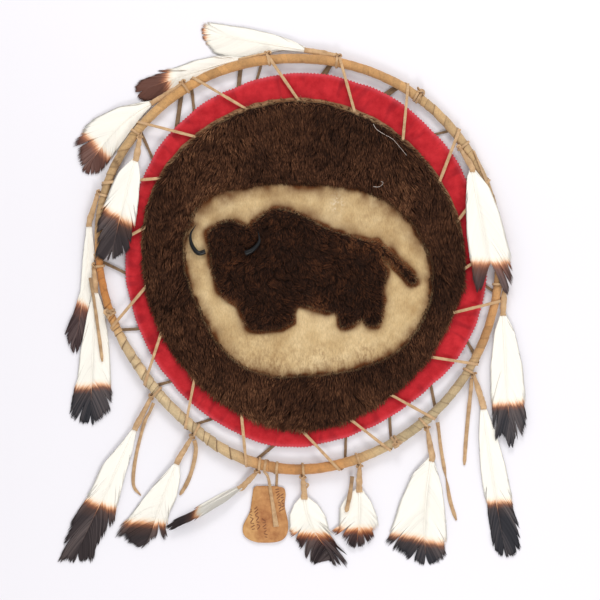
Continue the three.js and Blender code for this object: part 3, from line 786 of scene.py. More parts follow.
def hideSkin():
    # Tan skin with clipped stubble: streaks down the hide, darker next to the fur, partly singed
    # hide and partly painted shade from the fur hanging over it; dark undercoat where the mark
    # "furred" says so.
    material, tree, shader = startMaterial("hide skin", 0.9, Specular_IOR_Level=0.1)
    clouds = grain(tree, 28, 6, 0.62)
    colour = ramp(tree, clouds, [(0.28, paint(184, 152, 106)), (0.5, paint(208, 179, 132)),
                                 (0.74, paint(232, 206, 160))])
    hairs = grain(tree, 700, 4, 0.7, stretch=(1, 0.28, 1))
    colour = shaded(tree, 0.5, colour, hairs, [(0.34, 0.62), (0.6, 1.04)])
    stubble = ramp(tree, grain(tree, 330, 4, 0.7, stretch=(1, 0.45, 1)),
                   [(0.44, 0.0), (0.62, 1.0)])
    colour = blend(tree, sums(tree, "MULTIPLY", stubble, mark(tree, "stubble")), colour,
                   paint(150, 120, 84))
    patch = ramp(tree, grain(tree, 240, 5, 0.7), [(0.46, 0.0), (0.62, 0.85)])
    patch = sums(tree, "MULTIPLY", patch, mark(tree, "scuff"))
    colour = blend(tree, patch, colour, paint(240, 222, 190))
    colour = blend(tree, mark(tree, "singeAndShade"), colour, paint(92, 52, 26))
    under = ramp(tree, hairs, [(0.3, paint(20, 11, 8)), (0.7, paint(48, 29, 19))])
    colour = blend(tree, mark(tree, "furred"), colour, under)
    edge = blend(tree, 0.15, paint(124, 78, 54), colour)
    colour = blend(tree, mark(tree, "rim"), colour, edge)
    setColour(tree, shader, colour)
    bump(tree, shader, sums(tree, "ADD", hairs, clouds), 0.0006)
    return material


def makeHide():
    # Rings from the middle to the edge and back underneath, each point's height the skin's top
    # plus the undercoat's; the cut edge is rounded and a little uneven.
    count = skin["points"]
    angle = np.arange(count) * 360 / count
    inside = np.linspace(0.012, 0.975, skin["rings"])
    share = np.concatenate([inside, [0.985, 0.993, 0.998, 1.0]])[:, None]
    edge = skinEdge(angle) + 1.2 * noise(angle * 0.4, 0.5, 34) + 0.5 * noise(angle * 1.7, 0.5, 35)
    place = polar(angle, share * edge)
    x, y = place[..., 0], place[..., 1]
    height = furHeight(x, y)
    furred = smooth(height, 0.4, 2.2)
    rough = 0.28 * noise(x * 0.12, y * 0.12, 36) + 0.14 * noise(x * 0.5, y * 0.5, 37)
    rough = rough + furred * 0.9 * noise(x * 0.2, y * 0.13, 38)
    drop = 0.9 * smooth(share, 0.98, 1.0) ** 2
    z = skin["top"] + height + rough * smooth(-share, -1.0, -0.97) - drop
    top = np.stack([x, y, z], -1)
    low = top[[-1, -8, 40]].copy()
    low[..., 2] = skin["low"] + np.array([0.6, 0, 0])[:, None]
    rings = np.concatenate([top, low])
    centre = [[0, 0, skin["top"] + furHeight(0.0, 0.0)], [0, 0, skin["low"]]]
    places = np.concatenate([rings.reshape(-1, 3), np.array(centre, float)])
    outer, inner = furEdges(x, y)
    # Painted shade with the singe: the skin darkens beside the fur, further at the top where the
    # fur hangs over the window, and round the bison.
    reach = mix(5.5, 10.5, smooth(y, -60, 100)) * (1 + 0.6 * noise(x * 0.05, y * 0.05, 42))
    hidden = mix(3.0, 6.5, smooth(y, -40, 90))
    singeAndShade = 0.95 * np.exp(-(np.clip(-inner, 0, 99) / (hidden + 1.1 * reach)) ** 1.4)
    toBison = -insideLine(x, y, bisonLine) - 4
    singeAndShade = np.maximum(singeAndShade, 0.9 * fade(toBison, 0.75 * reach))
    singeAndShade = np.clip(singeAndShade * (0.95 + 0.4 * noise(x * 0.09, y * 0.09, 39)), 0, 1)
    singeAndShade = singeAndShade * (outer > 0) * (1 - furred)
    scuff = np.exp(-((x - 59) / 9) ** 2 - ((y - 90) / 13) ** 2)
    stubble = smooth(-y, 80, 160) * 0.5 + 0.3 * smooth(noise(x * 0.03, y * 0.03, 40), 0.1, 0.8)
    stubble = np.clip(stubble + 0.35 * fade(-inner, 14), 0, 1)
    rim = smooth(-outer, -4, 3)

    def whole(values):
        # Also for the rings underneath and the two middle points.
        return np.concatenate([values.ravel(), np.repeat(values[-1], 3), values[0, :1], [0]])

    marks = {"furred": whole(furred), "singeAndShade": whole(singeAndShade), "stubble": whole(stubble),
             "rim": whole(rim), "scuff": whole(scuff)}
    makePiece("hide_skin", places, tubeFaces(len(rings), count), hideSkin(),
              stands=["fur_hide"], marks=marks)


makeHide()


def hairMaterial(name, colours, tipGain):
    # A lock's colour depends on its own shade, u, and on the way from root to tip, v.
    material, tree, shader = startMaterial(name, 0.7, Specular_IOR_Level=0.12)
    u, v = uvParts(tree)
    colour = ramp(tree, u, [(at, paint(*value)) for at, value in colours])
    # Darker at the root and lighter at the tip: partly the hair's own colour, partly painted shade
    # deep in the fur and painted highlight on the tips.
    colour = shaded(tree, 1.0, colour, v, [(0.0, 0.2), (0.5, 0.7), (1.0, tipGain)])
    setColour(tree, shader, colour)
    return material


def lockMesh(centres, ways, widths, shade, ridge=0.9):
    # Tapered three-sided locks: rings of two side points and a ridge point round each centre but
    # the last, which is the tip. centres is locks by stations by 3, ways the side way of each
    # lock, or of each of its rings.
    count, stations = centres.shape[:2]
    half = widths[..., None] / 2
    ways = ways[:, None] if ways.ndim == 2 else ways
    left = centres[:, :-1] + ways * half
    right = centres[:, :-1] - ways * half
    top = centres[:, :-1] + np.array([0, 0, ridge]) * half
    rings = np.stack([left, right, top], 2).reshape(count, -1, 3)
    places = np.concatenate([rings, centres[:, -1:]], 1)
    each = places.shape[1]
    quads = gridFaces(stations - 1, 3)
    last = (stations - 2) * 3
    tris = np.array([[2, 1, 0], [last, last + 1, each - 1], [last + 1, last + 2, each - 1],
                     [last + 2, last, each - 1]])
    start = (np.arange(count) * each)[:, None, None]
    faces = [(quads + start).reshape(-1, 4), (tris + start).reshape(-1, 3)]
    v = np.repeat(np.linspace(0, 0.93, stations - 1), 3)
    v = np.append(v, 1.0)
    u = shade[:, None] + np.append(np.tile([-0.004, 0.004, 0.0], stations - 1), 0.0)
    uv = np.stack([np.clip(u, 0.001, 0.999), np.broadcast_to(v, u.shape)], -1).reshape(-1, 2)
    return places.reshape(-1, 3), faces, uv


def rootsOver(spacing, half, seed):
    # Places on a slanted grid, each moved a little off its point.
    n = int(half / spacing)
    i, j = np.meshgrid(np.arange(-n, n + 1), np.arange(-n, n + 1), indexing="ij")
    x = (i + 0.5 * (j % 2) + 0.8 * (scatter(i, j, seed=seed) - 0.5)) * spacing
    y = (j + 0.8 * (scatter(i, j, seed=seed + 1) - 0.5)) * spacing
    return x.ravel(), y.ravel()


def clumpOf(x, y, size, seed):
    # The nearest of points strewn one to a cell: looked for in the cell and its eight
    # neighbours. Gives the point's place and its own number.
    best = np.full(np.shape(x), np.inf)
    found = [np.zeros(np.shape(x)) for _ in range(3)]
    i0, j0 = np.floor(x / size), np.floor(y / size)
    for di in (-1, 0, 1):
        for dj in (-1, 0, 1):
            i, j = i0 + di, j0 + dj
            cx = (i + scatter(i, j, seed=seed)) * size
            cy = (j + scatter(i, j, seed=seed + 1)) * size
            away = (cx - x) ** 2 + (cy - y) ** 2
            near = away < best
            best = np.where(near, away, best)
            for k, value in enumerate((cx, cy, i * 7919 + j)):
                found[k] = np.where(near, value, found[k])
    return found


def furWay(x, y, seed=51):
    # Degrees that the hair's lie turns from straight down: two slow waves and a quick one.
    return (26 * noise(x * 0.012, y * 0.012, seed) + 20 * noise(x * 0.045, y * 0.03, seed + 1)
            + 9 * noise(x * 0.16, y * 0.1, seed + 2))


def makeBandFur():
    # Locks lie down the hide in tufts, shorter, finer and redder towards the window, and lean out
    # over the hide's edge.
    x, y = rootsOver(fur["spacing"], 262, 41)
    outer, inner = furEdges(x, y)
    keep = (outer > 0.3) & (inner > -2.5)
    x, y, outer, inner = x[keep], y[keep], outer[keep], inner[keep]
    number = np.arange(len(x))
    own = scatter(number, seed=43)
    cx, cy, cell = clumpOf(x, y, fur["clump"], 44)
    clumpRise, clumpShade = scatter(cell, seed=45), scatter(cell, seed=46)
    length = mix(*fur["length"], scatter(number, seed=47)) * mix(0.8, 1.1, clumpRise)
    length = length * mix(0.22, 1.0, smooth(inner, -2, 17)) * mix(0.5, 1.0, smooth(outer, 0, 9))
    turn = np.deg2rad(furWay(x, y) + 26 * (clumpShade - 0.5) + 30 * (own - 0.5))
    bend = np.deg2rad(50 * noise(cx * 0.07, cy * 0.07, 48) + 50 * (scatter(number, seed=49) - 0.5))
    stations = np.array([0.0, 0.5, 1.0])
    at = turn[:, None] + bend[:, None] * stations
    way = np.stack([np.sin(at), -np.cos(at)], -1)
    radial = unit(np.stack([x, y], -1))
    lean = 1.35 * fade(outer, 4.5)
    way = unit(way + (radial * lean[:, None])[:, None])
    step = np.diff(stations)[None, :, None] * length[:, None, None]
    plan = np.concatenate([np.zeros((len(x), 1, 2)), np.cumsum(way[:, :-1] * step, 1)], 1)
    plan = plan + np.stack([x, y], -1)[:, None]
    clumpTurn = np.deg2rad(furWay(cx, cy))
    tip = np.stack([cx + 16 * np.sin(clumpTurn), cy - 16 * np.cos(clumpTurn)], -1)
    pull = 0.3 * (stations ** 1.5)[None] * smooth(np.minimum(outer, inner), 2, 16)[:, None]
    plan = mix(plan, tip[:, None], pull[..., None])
    under = furHeight(plan[..., 0], plan[..., 1])
    lift = np.array([-0.8, 1.0, 0.45]) * mix(1.8, 7.6, clumpRise)[:, None]
    full = smooth(np.minimum(outer, inner), -2, 11)
    lift = lift * (mix(0.7, 1.3, own) * mix(0.4, 1.0, full))[:, None]
    z = skin["top"] + under + lift
    beyond = -furEdges(plan[..., 0], plan[..., 1])[0]
    z = np.maximum(z, skin["top"] - 0.6 - 1.2 * smooth(beyond, 6, 14))
    centres = np.concatenate([plan, z[..., None]], -1)
    side = unit(np.stack([-way[:, 0, 1], way[:, 0, 0], np.zeros(len(x))], -1))
    widths = fur["width"] * np.array([1.0, 0.95])
    widths = widths * mix(0.65, 1.35, scatter(number, seed=50))[:, None]
    widths = widths * mix(0.7, 1.0, full)[:, None]
    # Higher tufts are lighter: painted highlight on their crests.
    shade = 0.14 * clumpShade + 0.18 * clumpRise + 0.5 * scatter(number, seed=52) + 0.02
    shade = shade + 0.2 * noise(x * 0.02, y * 0.02, 53) + 0.14 * np.exp(-(inner + 2) / 5)
    shade = shade + 0.3 * fade(outer, 4)
    material = hairMaterial("bison fur", fur["colours"], 1.5)
    order = np.argsort(cell % 3, kind="stable")
    for part, chosen in enumerate(np.array_split(order, 3)):
        places, faces, uv = lockMesh(centres[chosen], side[chosen], widths[chosen],
                                     np.clip(shade[chosen], 0.01, 0.99))
        makePiece(f"band_fur_{part + 1}", places, faces, material,
                  stands=["fur_hide"], uv=uv)


makeBandFur()


def makeBisonFur():
    # Dense locks that stand up from the bison, short at its outline and leaning out over it,
    # longer and laid in tufts down its body.
    x, y = rootsOver(fur["bisonSpacing"], 185, 61)
    inside = insideLine(x, y, bisonLine)
    keep = inside > -1.6
    x, y, inside = x[keep], y[keep], inside[keep]
    number = np.arange(len(x))
    own = scatter(number, seed=62)
    outX = insideLine(x - 1, y, bisonLine) - insideLine(x + 1, y, bisonLine)
    outY = insideLine(x, y - 1, bisonLine) - insideLine(x, y + 1, bisonLine)
    out = np.stack([outX, outY], -1) / 2 * fade(inside, 5)[:, None]
    cx, cy, cell = clumpOf(x, y, fur["bisonClump"], 66)
    lie = np.deg2rad(furWay(x, y, 63) * 2.2 + 46 * (own - 0.5)
                     + 60 * (scatter(cell, seed=70) - 0.5))
    down = np.stack([np.sin(lie), -np.cos(lie)], -1)
    within = smooth(inside, -1.5, 9)
    lean = unit(out * 1.7 + down * 0.75) * mix(0.45, 0.85, scatter(number, seed=64))[:, None]
    length = mix(*fur["bisonLength"], scatter(number, seed=65)) * mix(0.45, 1.0, within)
    stations = np.array([0.0, 0.5, 1.0])
    reach = (stations ** 1.2)[None, :, None] * length[:, None, None]
    plan = np.stack([x, y], -1)[:, None] + lean[:, None] * reach
    tip = np.stack([cx, cy], -1)[:, None] + lean[:, None] * length[:, None, None]
    plan = mix(plan, tip, 0.42 * (stations ** 1.5)[None, :, None] * within[:, None, None])
    root = skin["top"] + fur["bison"] * smooth(inside, -1, 5) - 0.8
    stand = mix(0.22, 0.5, own) * mix(0.55, 1.4, scatter(cell, seed=71))
    rise = np.array([0.0, 0.72, 0.85])[None] * (length * stand)[:, None]
    centres = np.concatenate([plan, (root[:, None] + rise)[..., None]], -1)
    side = unit(np.stack([-lean[:, 1], lean[:, 0], np.zeros(len(x))], -1))
    widths = fur["width"] * np.array([1.0, 0.9])
    widths = widths * mix(0.65, 1.35, scatter(number, seed=67))[:, None]
    rim = np.exp(-(inside + 1.6) / 4.0)
    shade = 0.04 + 0.14 * scatter(cell, seed=68) + 0.4 * scatter(number, seed=69) + 0.42 * rim
    shade = shade + 0.22 * smooth(noise(x * 0.03, y * 0.035, 72), 0.1, 0.8)
    places, faces, uv = lockMesh(centres, side, widths, np.clip(shade, 0.01, 0.99))
    material = hairMaterial("standing fur", fur["bisonColours"], 1.6)
    makePiece("bison_fur", places, faces, material, stands=["fur_hide"], uv=uv)


makeBisonFur()


def makeStrayHairs():
    # Two pale loose hairs that lie on the fur, as thin tubes along smooth lines.
    parts = []
    count = fur["hairPoints"]
    for points in fur["hairs"]:
        line = smoothLine([[x, y, 0] for x, y in points], count)
        line[:, 2] = skin["top"] + furHeight(line[:, 0], line[:, 1]) + fur["hairHeight"]
        line[:, 2] += 0.5 * np.sin(np.arange(count) * 0.4)
        wide = np.linspace(*fur["hairWidths"], count)
        parts.append(strapMesh(line, levelSide(line), wide, 0.5, corners=6, edge=1.0))
    material, _, shader = startMaterial("pale hair", 0.6)
    shader.inputs["Base Color"].default_value = rgba(paint(206, 194, 184))
    places, faces = joinParts(parts)
    makePiece("stray_hairs", places, faces, material, stands=["fur_hide"])


makeStrayHairs()
print("hide and fur made")

# Lacing

def outwards(plan):
    # How far out of the rod's middle line each place lies.
    angle, radius = polarOf(plan[:, 0], plan[:, 1])
    return radius - rodLine(angle)


def envelope(q, radius, far, height, way):
    # Height of a tight strip over a rod at a distance q outwards of its middle: the rod's circle,
    # or the straight line that touches it and ends far inside at that height, whichever is
    # further out; way is 1 over the rod and -1 under it.
    circle = np.sqrt(np.maximum(radius ** 2 - q ** 2, 0))
    reach = np.hypot(far, height)
    tilt = np.arcsin(np.minimum(radius / reach, 1)) + np.arctan2(height, far)
    line = height + (q + far) * np.tan(tilt - 2 * np.arctan2(height, far))
    return way * np.where(q > radius * np.sin(tilt) * -1, np.maximum(circle, line * (q < 0)), line)


def laceRoute():
    # The thong step by step: from the rod's outer side straight in to the hole, down through it,
    # straight out again below, and round the rod from underneath to the next step's start.
    line, sides, paintedShades = [], [], []

    def add(points, side, toneAndShade):
        line.append(points)
        sides.append(np.broadcast_to(side, points.shape))
        paintedShades.append(np.broadcast_to(toneAndShade, len(points)))

    # Each run's tone is painted shade: 1 in front, 0.6 down through the hole, 0.34 behind the
    # cloth, 0.85 round the rod.
    over = skin["top"] + 0.3 + lacing["thick"] / 2
    under = cloth["low"] - 0.3 - lacing["thick"] / 2
    for i, (outer, hole, behind) in enumerate(lacing["steps"]):
        reach = rodHalf(outer) + 0.9 + lacing["thick"] / 2
        start = polar(outer, rodLine(outer) + reach)
        centre = polar(hole, skinEdge(hole) - skin["holeInset"])
        share = np.linspace(0, 0.965, 40)[:, None] ** 1.25
        plan = mix(start, centre, share)
        far = rodLine(hole) - np.hypot(*centre[:2])
        z = rod["height"] + envelope(outwards(plan), reach, far, over - rod["height"], 1)
        z = np.where(share[:, 0] > 0.9, np.minimum(z, over + 3), z)
        inward = unit(centre - start)
        frontSide = np.array([-inward[1], inward[0], 0])
        add(np.stack([plan[:, 0], plan[:, 1], z], -1), frontSide, 1.0)
        behindReach = rodHalf(behind) + 0.7 + lacing["thick"] / 2
        back = polar(behind, rodLine(behind) - 0.2 * behindReach)
        outward = unit(back - centre)
        backSide = np.array([outward[1], -outward[0], 0])
        drop = np.array([[-0.6, over - 0.5], [-0.1, over - 2.2], [0.3, under + 2.0],
                         [0.9, under + 0.5]])
        down = centre[None] + np.where(drop[:, :1] < 0, inward, outward) * np.abs(drop[:, :1])
        down[:, 2] = drop[:, 1]
        turned = unit(mix(frontSide, backSide, np.linspace(0, 1, 4)[:, None]) + 1e-6)
        add(down, turned, 0.6)
        share = np.linspace(0.05, 1, 34)[:, None]
        plan = mix(centre, back, share)
        z = envelope(outwards(plan), behindReach, far, rod["height"] - under, -1)
        add(np.stack([plan[:, 0], plan[:, 1], rod["height"] + z], -1), backSide, 0.34)
        if i + 1 < len(lacing["steps"]):
            turn = np.linspace(-84, -6, 12)
            way = behind + (lacing["steps"][i + 1][0] - behind) * np.linspace(0.08, 0.97, 12)
            add(onRod(way, turn, 0.8 + lacing["thick"] / 2), polar(way + 90, 1), 0.85)
    return np.concatenate(line), np.concatenate(sides), np.concatenate(paintedShades)


def makeLacing():
    # The route evenly resampled; its width wavers and the strip rocks a little about its line.
    line, sides, paintedShades = laceRoute()
    length = lengthsTo(line)
    at = np.linspace(0, length[-1], int(length[-1] / lacing["spacing"]))
    toneAndShade = np.interp(at, length, paintedShades)
    waver = 0.2 * noise(at * 0.05, 0.5, 71) + 0.1 * noise(at * 0.2, 0.5, 72)
    line, side = [np.stack([np.interp(at, length, v[:, k]) for k in range(3)], -1)
                  for v in (line, sides)]
    side, up = framesAlong(line, unit(side))
    rock = 0.5 * noise(at * 0.03, 0.5, 73)
    side = side * np.cos(rock)[:, None] + up * np.sin(rock)[:, None]
    parts = [strapMesh(line, side, lacing["width"] * (1.04 + waver), lacing["thick"])]
    shades = [np.append(np.repeat(toneAndShade * (0.94 + 0.1 * noise(at * 0.1, 0.5, 74)), 8), [1, 1])]
    for near, far, wide in lacing["extra"]:
        strip = mix(polar(*near), polar(*far), np.linspace(0, 1, lacing["extraPoints"])[:, None])
        side = np.cross(unit(strip[-1] - strip[0]), (0, 0, 1))
        parts.append(strapMesh(strip, side, wide, lacing["extraThick"]))
        shades.append(np.full(len(parts[-1][0]), lacing["extraPaintedShade"]))
    places, faces = joinParts(parts)
    makePiece("lacing_thong", places, faces, thongLeather, stands=["lacing"],
              marks={"toneAndShade": np.concatenate(shades)})


makeLacing()
print("lacing made")

# Feathers

feathers = {
    # tie: angle round the hoop; lift: heights along the shaft; dark: the line where the dark
    # tip starts; edges: points of both edges as x, y, x, y from the sleeve to the tip
    "01": {
        "tie": 11.2, "lift": [7, 1, 0], "tint": "brown", "deep": 0.52,
        "shaft": [[17.2, 318.8], [-56.2, 331.5], [-131.2, 345]],
        "dark": [[-137.2, 373.5], [-137.2, 316.5]],
        "edges": [
            [17.2, 321, -14.2, 337.5, -47.2, 348, -86.2, 357, -122.2, 361.5, -141.8, 364.5,
             -149.2, 355.5, -147.8, 345],
            [17.2, 316.5, -8.2, 318.6, -32.2, 321, -53.2, 316.5, -80.2, 309, -113.2, 308.2,
             -129.8, 315, -141.8, 328.5, -147.8, 342],
        ],
    },
    "02": {
        "tie": 352, "lift": [6, -2, 0], "tint": "brown", "deep": 0.58,
        "sleeveWidths": [3, 3.6, 4.2, 4.6, 4.4],
        "shaft": [[-81.8, 306.8], [-146.2, 292.5], [-233.2, 261]],
        "dark": [[-194.2, 298.5], [-189.8, 247.5]],
        "edges": [
            [-81.8, 309, -122.2, 312, -161.2, 304.5, -191.2, 292.5, -221.2, 286.5, -240.8, 274.5,
             -248.2, 262.5, -245.2, 253.5],
            [-81.8, 304.5, -108.8, 294, -137.2, 282, -161.2, 270, -182.2, 253.5, -206.2, 241.5,
             -228.8, 238.5, -240.8, 244.5, -245.2, 252],
        ],
    },
    "03": {
        "tie": 327.6, "lift": [7, 2, 0], "tint": "brown", "deep": 0.62,
        "sleeve": [[-182.2, 262.5, 9]],
        "shaft": [[-213.8, 242.2], [-273.8, 214.5], [-314.2, 145.5]],
        "dark": [[-326.2, 202.5], [-276.8, 154.5]],
        "edges": [
            [-215.2, 244.5, -272.2, 234, -311.2, 216, -330.8, 198, -341.2, 178.5, -338.2, 154.5,
             -326.2, 135, -314.2, 130.5],
            [-215.2, 240, -233.2, 222, -251.2, 198, -266.2, 175.5, -279.8, 157.5, -287.2, 142.5,
             -299.2, 132, -311.2, 130.5],
        ],
    },
    "04": {
        "tie": 308.7, "lift": [17.5, 19.4, 18.8], "tint": "dusky", "inward": True,
        "shaft": [[-240.8, 159], [-260.2, 94.5], [-276.8, 16.5]],
        "dark": [[-290.2, 85.5], [-240.8, 55.5]],
        "edges": [
            [-242.2, 159, -270.8, 132, -282.8, 106.5, -291.8, 82.5, -300.8, 55.5, -303.8, 27,
             -308.2, 4.5, -294.8, 0, -284.2, 1.5],
            [-239.2, 159, -234.8, 124.5, -237.8, 87, -242.2, 52.5, -248.2, 27, -252.8, 10.5,
             -269.2, 4.5, -278.2, 1.5],
        ],
    },
    "05": {
        "tie": 289.4, "lift": [7, 4, 0], "tint": "brown",
        "shaft": [[-312.8, 61.5], [-317.2, -40.5], [-335.2, -123]],
        "dark": [[-327.8, -57], [-309.8, -66]],
        "edges": [
            [-315.8, 61.5, -323.2, 4.5, -327.8, -55.5, -341.2, -88.5, -351.8, -112.5,
             -347.2, -124.5, -336.8, -139.5],
            [-309.8, 61.5, -303.8, 12, -306.8, -40.5, -312.8, -78, -320.2, -115.5, -332.2, -139.5],
        ],
    },
    "06": {
        "tie": 269.2, "lift": [7, 3, 0], "tint": "black",
        "shaft": [[-303.8, -37.5], [-308.2, -130.5], [-311.2, -228]],
        "dark": [[-335.2, -183], [-276.8, -180]],
        "edges": [
            [-305.2, -37.5, -317.2, -85.5, -327.8, -138, -332.2, -178.5, -341.2, -213,
             -345.8, -240, -332.2, -246, -314.2, -246],
            [-302.2, -37.5, -290.2, -70.5, -281.2, -130.5, -279.8, -175.5, -278.2, -205.5,
             -279.8, -228, -293.2, -237, -309.8, -246],
        ],
    },
    "07": {
        "tie": 227.6, "lift": [6, 3, 0], "tint": "dusky", "ragged": 0.14,
        "shaft": [[-242.2, -244.5], [-284.2, -337.5], [-332.2, -435]],
        "dark": [[-314.2, -355.5], [-269.2, -367.5]],
        "edges": [
            [-243.8, -244.5, -269.2, -277.5, -296.2, -307.5, -311.2, -340.5, -326.2, -364.5,
             -347.2, -397.5, -360.8, -430.5, -368.2, -454.5, -353.2, -448.5, -338.2, -456],
            [-240.8, -246, -249.8, -288, -261.8, -328.5, -270.8, -367.5, -276.8, -397.5,
             -293.2, -415.5, -308.2, -454.5, -323.2, -457.5, -333.8, -456],
        ],
    },
    "08": {
        "tie": 211.3, "lift": [6, 3, 0], "tint": "dusky", "ragged": 0.16, "curl": 0.45,
        "shaft": [[-179.2, -295.5], [-206.2, -355.5], [-224.2, -423]],
        "dark": [[-260.2, -387], [-194.2, -390]],
        "edges": [
            [-180.8, -295.5, -198.8, -316.5, -221.2, -340.5, -242.2, -366, -257.2, -387,
             -284.2, -399, -284.2, -408, -263.2, -423, -242.2, -432],
            [-177.8, -298.5, -176.2, -325.5, -182.2, -355.5, -194.2, -382.5, -197.2, -408,
             -206.2, -420, -224.2, -424.5, -239.2, -433.5],
        ],
    },
    "09": {
        "tie": 190.9, "lift": [5, 2, 0], "tint": "dusky", "tilt": 1.6,
        "shaft": [[-83.2, -336], [-128.2, -360], [-179.2, -388.5]],
        "dark": [[-153.8, -355.5], [-144.8, -391.5]],
        "edges": [
            [-83.2, -333, -113.2, -345, -146.2, -363, -168.8, -378, -191.2, -388.5, -201.8, -399,
             -198.8, -402],
            [-83.2, -339, -108.8, -358.5, -138.8, -376.5, -164.2, -391.5, -182.2, -399,
             -194.2, -403.5, -197.2, -402],
        ],
    },
    "10": {
        "tie": 178.6, "lift": [6, 2, 0], "tint": "brownBlack", "ragged": 0.14, "curl": 0.4,
        "strip": [[10, -330, 10], [16, -332, 8.5], [14, -337, 7], [10, -341, 6]], "stripWidth": 3,
        "shaft": [[9.8, -348], [9.8, -400.5], [60.8, -445.5]],
        "dark": [[-14.2, -400.5], [53.2, -408]],
        "edges": [
            [8.2, -348, -6.8, -364.5, -14.2, -382.5, -12.8, -403.5, -3.8, -427.5, 8.2, -447,
             21.8, -457.5, 36.8, -448.5],
            [11.2, -349.5, 33.8, -366, 45.8, -385.5, 51.8, -411, 65.2, -432, 80.2, -448.5,
             80.2, -459, 63.8, -456, 42.8, -448.5],
        ],
    },
    "11": {
        "tie": 163, "lift": [6, 4, 3.4], "tint": "brownBlack", "ragged": 0.16, "curl": 0.5,
        "shaft": [[92.2, -337.5], [95.2, -378], [89.2, -420]],
        "dark": [[59.2, -396], [125.2, -399]],
        "edges": [
            [90.8, -337.5, 72.8, -351, 60.8, -370.5, 60.8, -394.5, 47.2, -409.5, 60.8, -418.5,
             75.8, -427.5, 87.8, -430.5],
            [95.2, -337.5, 111.8, -360, 122.2, -385.5, 123.8, -400.5, 114.8, -420, 102.8, -430.5,
             90.8, -430.5],
        ],
    },
    "12": {
        "tie": 141.9, "lift": [6, 3, 0], "tint": "black", "ragged": 0.12,
        "shaft": [[201.8, -291], [186.8, -370.5], [192.8, -438]],
        "dark": [[135.8, -405], [228.8, -420]],
        "edges": [
            [200.2, -289.5, 171.8, -318, 150.8, -363, 138.8, -400.5, 129.8, -423, 140.2, -438,
             156.8, -441, 168.8, -454.5, 191.2, -457.5],
            [203.2, -292.5, 218.2, -340.5, 224.2, -385.5, 227.2, -423, 228.8, -448.5,
             213.8, -457.5, 195.8, -457.5],
        ],
    },
    "13": {
        "tie": 122.4, "lift": [6, 1, 0], "tint": "black",
        "shaft": [[278.2, -213], [291.8, -325.5], [311.2, -427.5]],
        "dark": [[282.8, -357], [324.8, -355.5]],
        "edges": [
            [275.2, -213, 272.2, -265.5, 275.2, -318, 281.2, -355.5, 287.2, -393, 294.8, -439.5,
             309.8, -445.5],
            [281.2, -213, 299.2, -258, 314.2, -307.5, 324.8, -355.5, 332.2, -393, 341.2, -430.5,
             332.2, -445.5, 314.2, -445.5],
        ],
    },
    "14": {
        "tie": 54.6, "lift": [18.7, 19.6, 19], "tint": "brown", "inward": True, "deep": 0.78,
        "ragged": 0.04, "close": 0.08,
        "strip": [[264, 168, 16.5], [274, 142, 18.3], [284, 116, 17]], "stripWidth": 5,
        "shaft": [[260.2, 142.5], [270.8, 72], [290.2, -4.5]],
        "dark": [[254.2, 3], [324.8, 3]],
        "edges": [
            [258.8, 142.5, 252.8, 124.5, 251.2, 84, 252.8, 39, 257.2, 4.5, 261.8, -25.5,
             269.2, -49.5, 276.8, -42],
            [261.8, 142.5, 288.8, 109.5, 303.8, 72, 314.2, 34.5, 322.5, 4.5, 324.8, -25.5,
             318.8, -51, 309.8, -43.5],
        ],
    },
    "15": {
        "tie": 96.2, "lift": [6.5, 6.5, 6], "tint": "black",
        "shaft": [[308.2, -72], [311.2, -160.5], [320.2, -265.5]],
        "dark": [[287.2, -210], [345.8, -207]],
        "edges": [
            [306.8, -72, 294.8, -108, 288.8, -160.5, 288.8, -208.5, 291.8, -246, 296.2, -276,
             305.2, -261, 312.8, -265.5, 320.2, -283.5],
            [309.8, -72, 327.8, -108, 339.8, -160.5, 344.2, -208.5, 345.8, -243, 335.2, -273,
             329.2, -256.5, 326.2, -270, 321.8, -283.5],
        ],
    },
}

plume = {
    "barbs": 160, "lean": 1.75, "end": 0.97, "crown": 0.05, "stiff": 1.3, "groups": 13,
    "fade": 55,  # length over which the dark tip deepens
    "shaftPoints": 36, "shaftCorners": 8, "shaftWidths": (2.2, 0.4),
    "tints": {  # screen colours down the tip: its start, then browner, then its dark end
        "black": [[232, 176, 134], [128, 84, 66], [62, 54, 54], [44, 44, 49]],
        "dusky": [[232, 172, 126], [140, 88, 62], [76, 56, 50], [52, 44, 45]],
        "brownBlack": [[230, 164, 112], [146, 84, 54], [66, 42, 38], [38, 28, 30]],
        "brown": [[228, 170, 130], [160, 104, 78], [106, 68, 56], [66, 50, 50]],
    },
}


def featherMaterial(tint):
    # Colour from the barb's own shade, u, and from the way into the dark tip, v: cream white, a
    # peach edge, then the tint's darker colours.
    material, tree, shader = startMaterial("plume " + tint, 0.65, Specular_IOR_Level=0.2)
    u, v = uvParts(tree)
    pale = ramp(tree, u, [(0.0, 0.80), (0.5, 0.95), (1.0, 1.0)])
    start, brown, dark, end = [paint(*c) for c in plume["tints"][tint]]
    colour = ramp(tree, v, [(0.22, paint(251, 247, 236)), (0.31, paint(251, 236, 214)),
                            (0.38, start), (0.45, brown), (0.55, dark), (0.8, end)])
    colour = blend(tree, 1.0, pale, colour, "MULTIPLY")
    streak = ramp(tree, u, [(0.45, 0.0), (0.62, (0.010, 0.008, 0.008)),
                            (0.85, (0.07, 0.055, 0.05))])
    inDark = ramp(tree, v, [(0.42, 0.0), (0.55, 1.0)])
    colour = blend(tree, inDark, colour, streak, "ADD")
    setColour(tree, shader, colour)
    return material


plumes = {tint: featherMaterial(tint) for tint in plume["tints"]}


def bezier(points, s):
    # Three points weighed by (1-s)^2, 2s(1-s) and s^2.
    a, b, c = [np.asarray(p, float) for p in points]
    s = np.asarray(s)[..., None]
    return a * (1 - s) ** 2 + 2 * b * s * (1 - s) + c * s * s


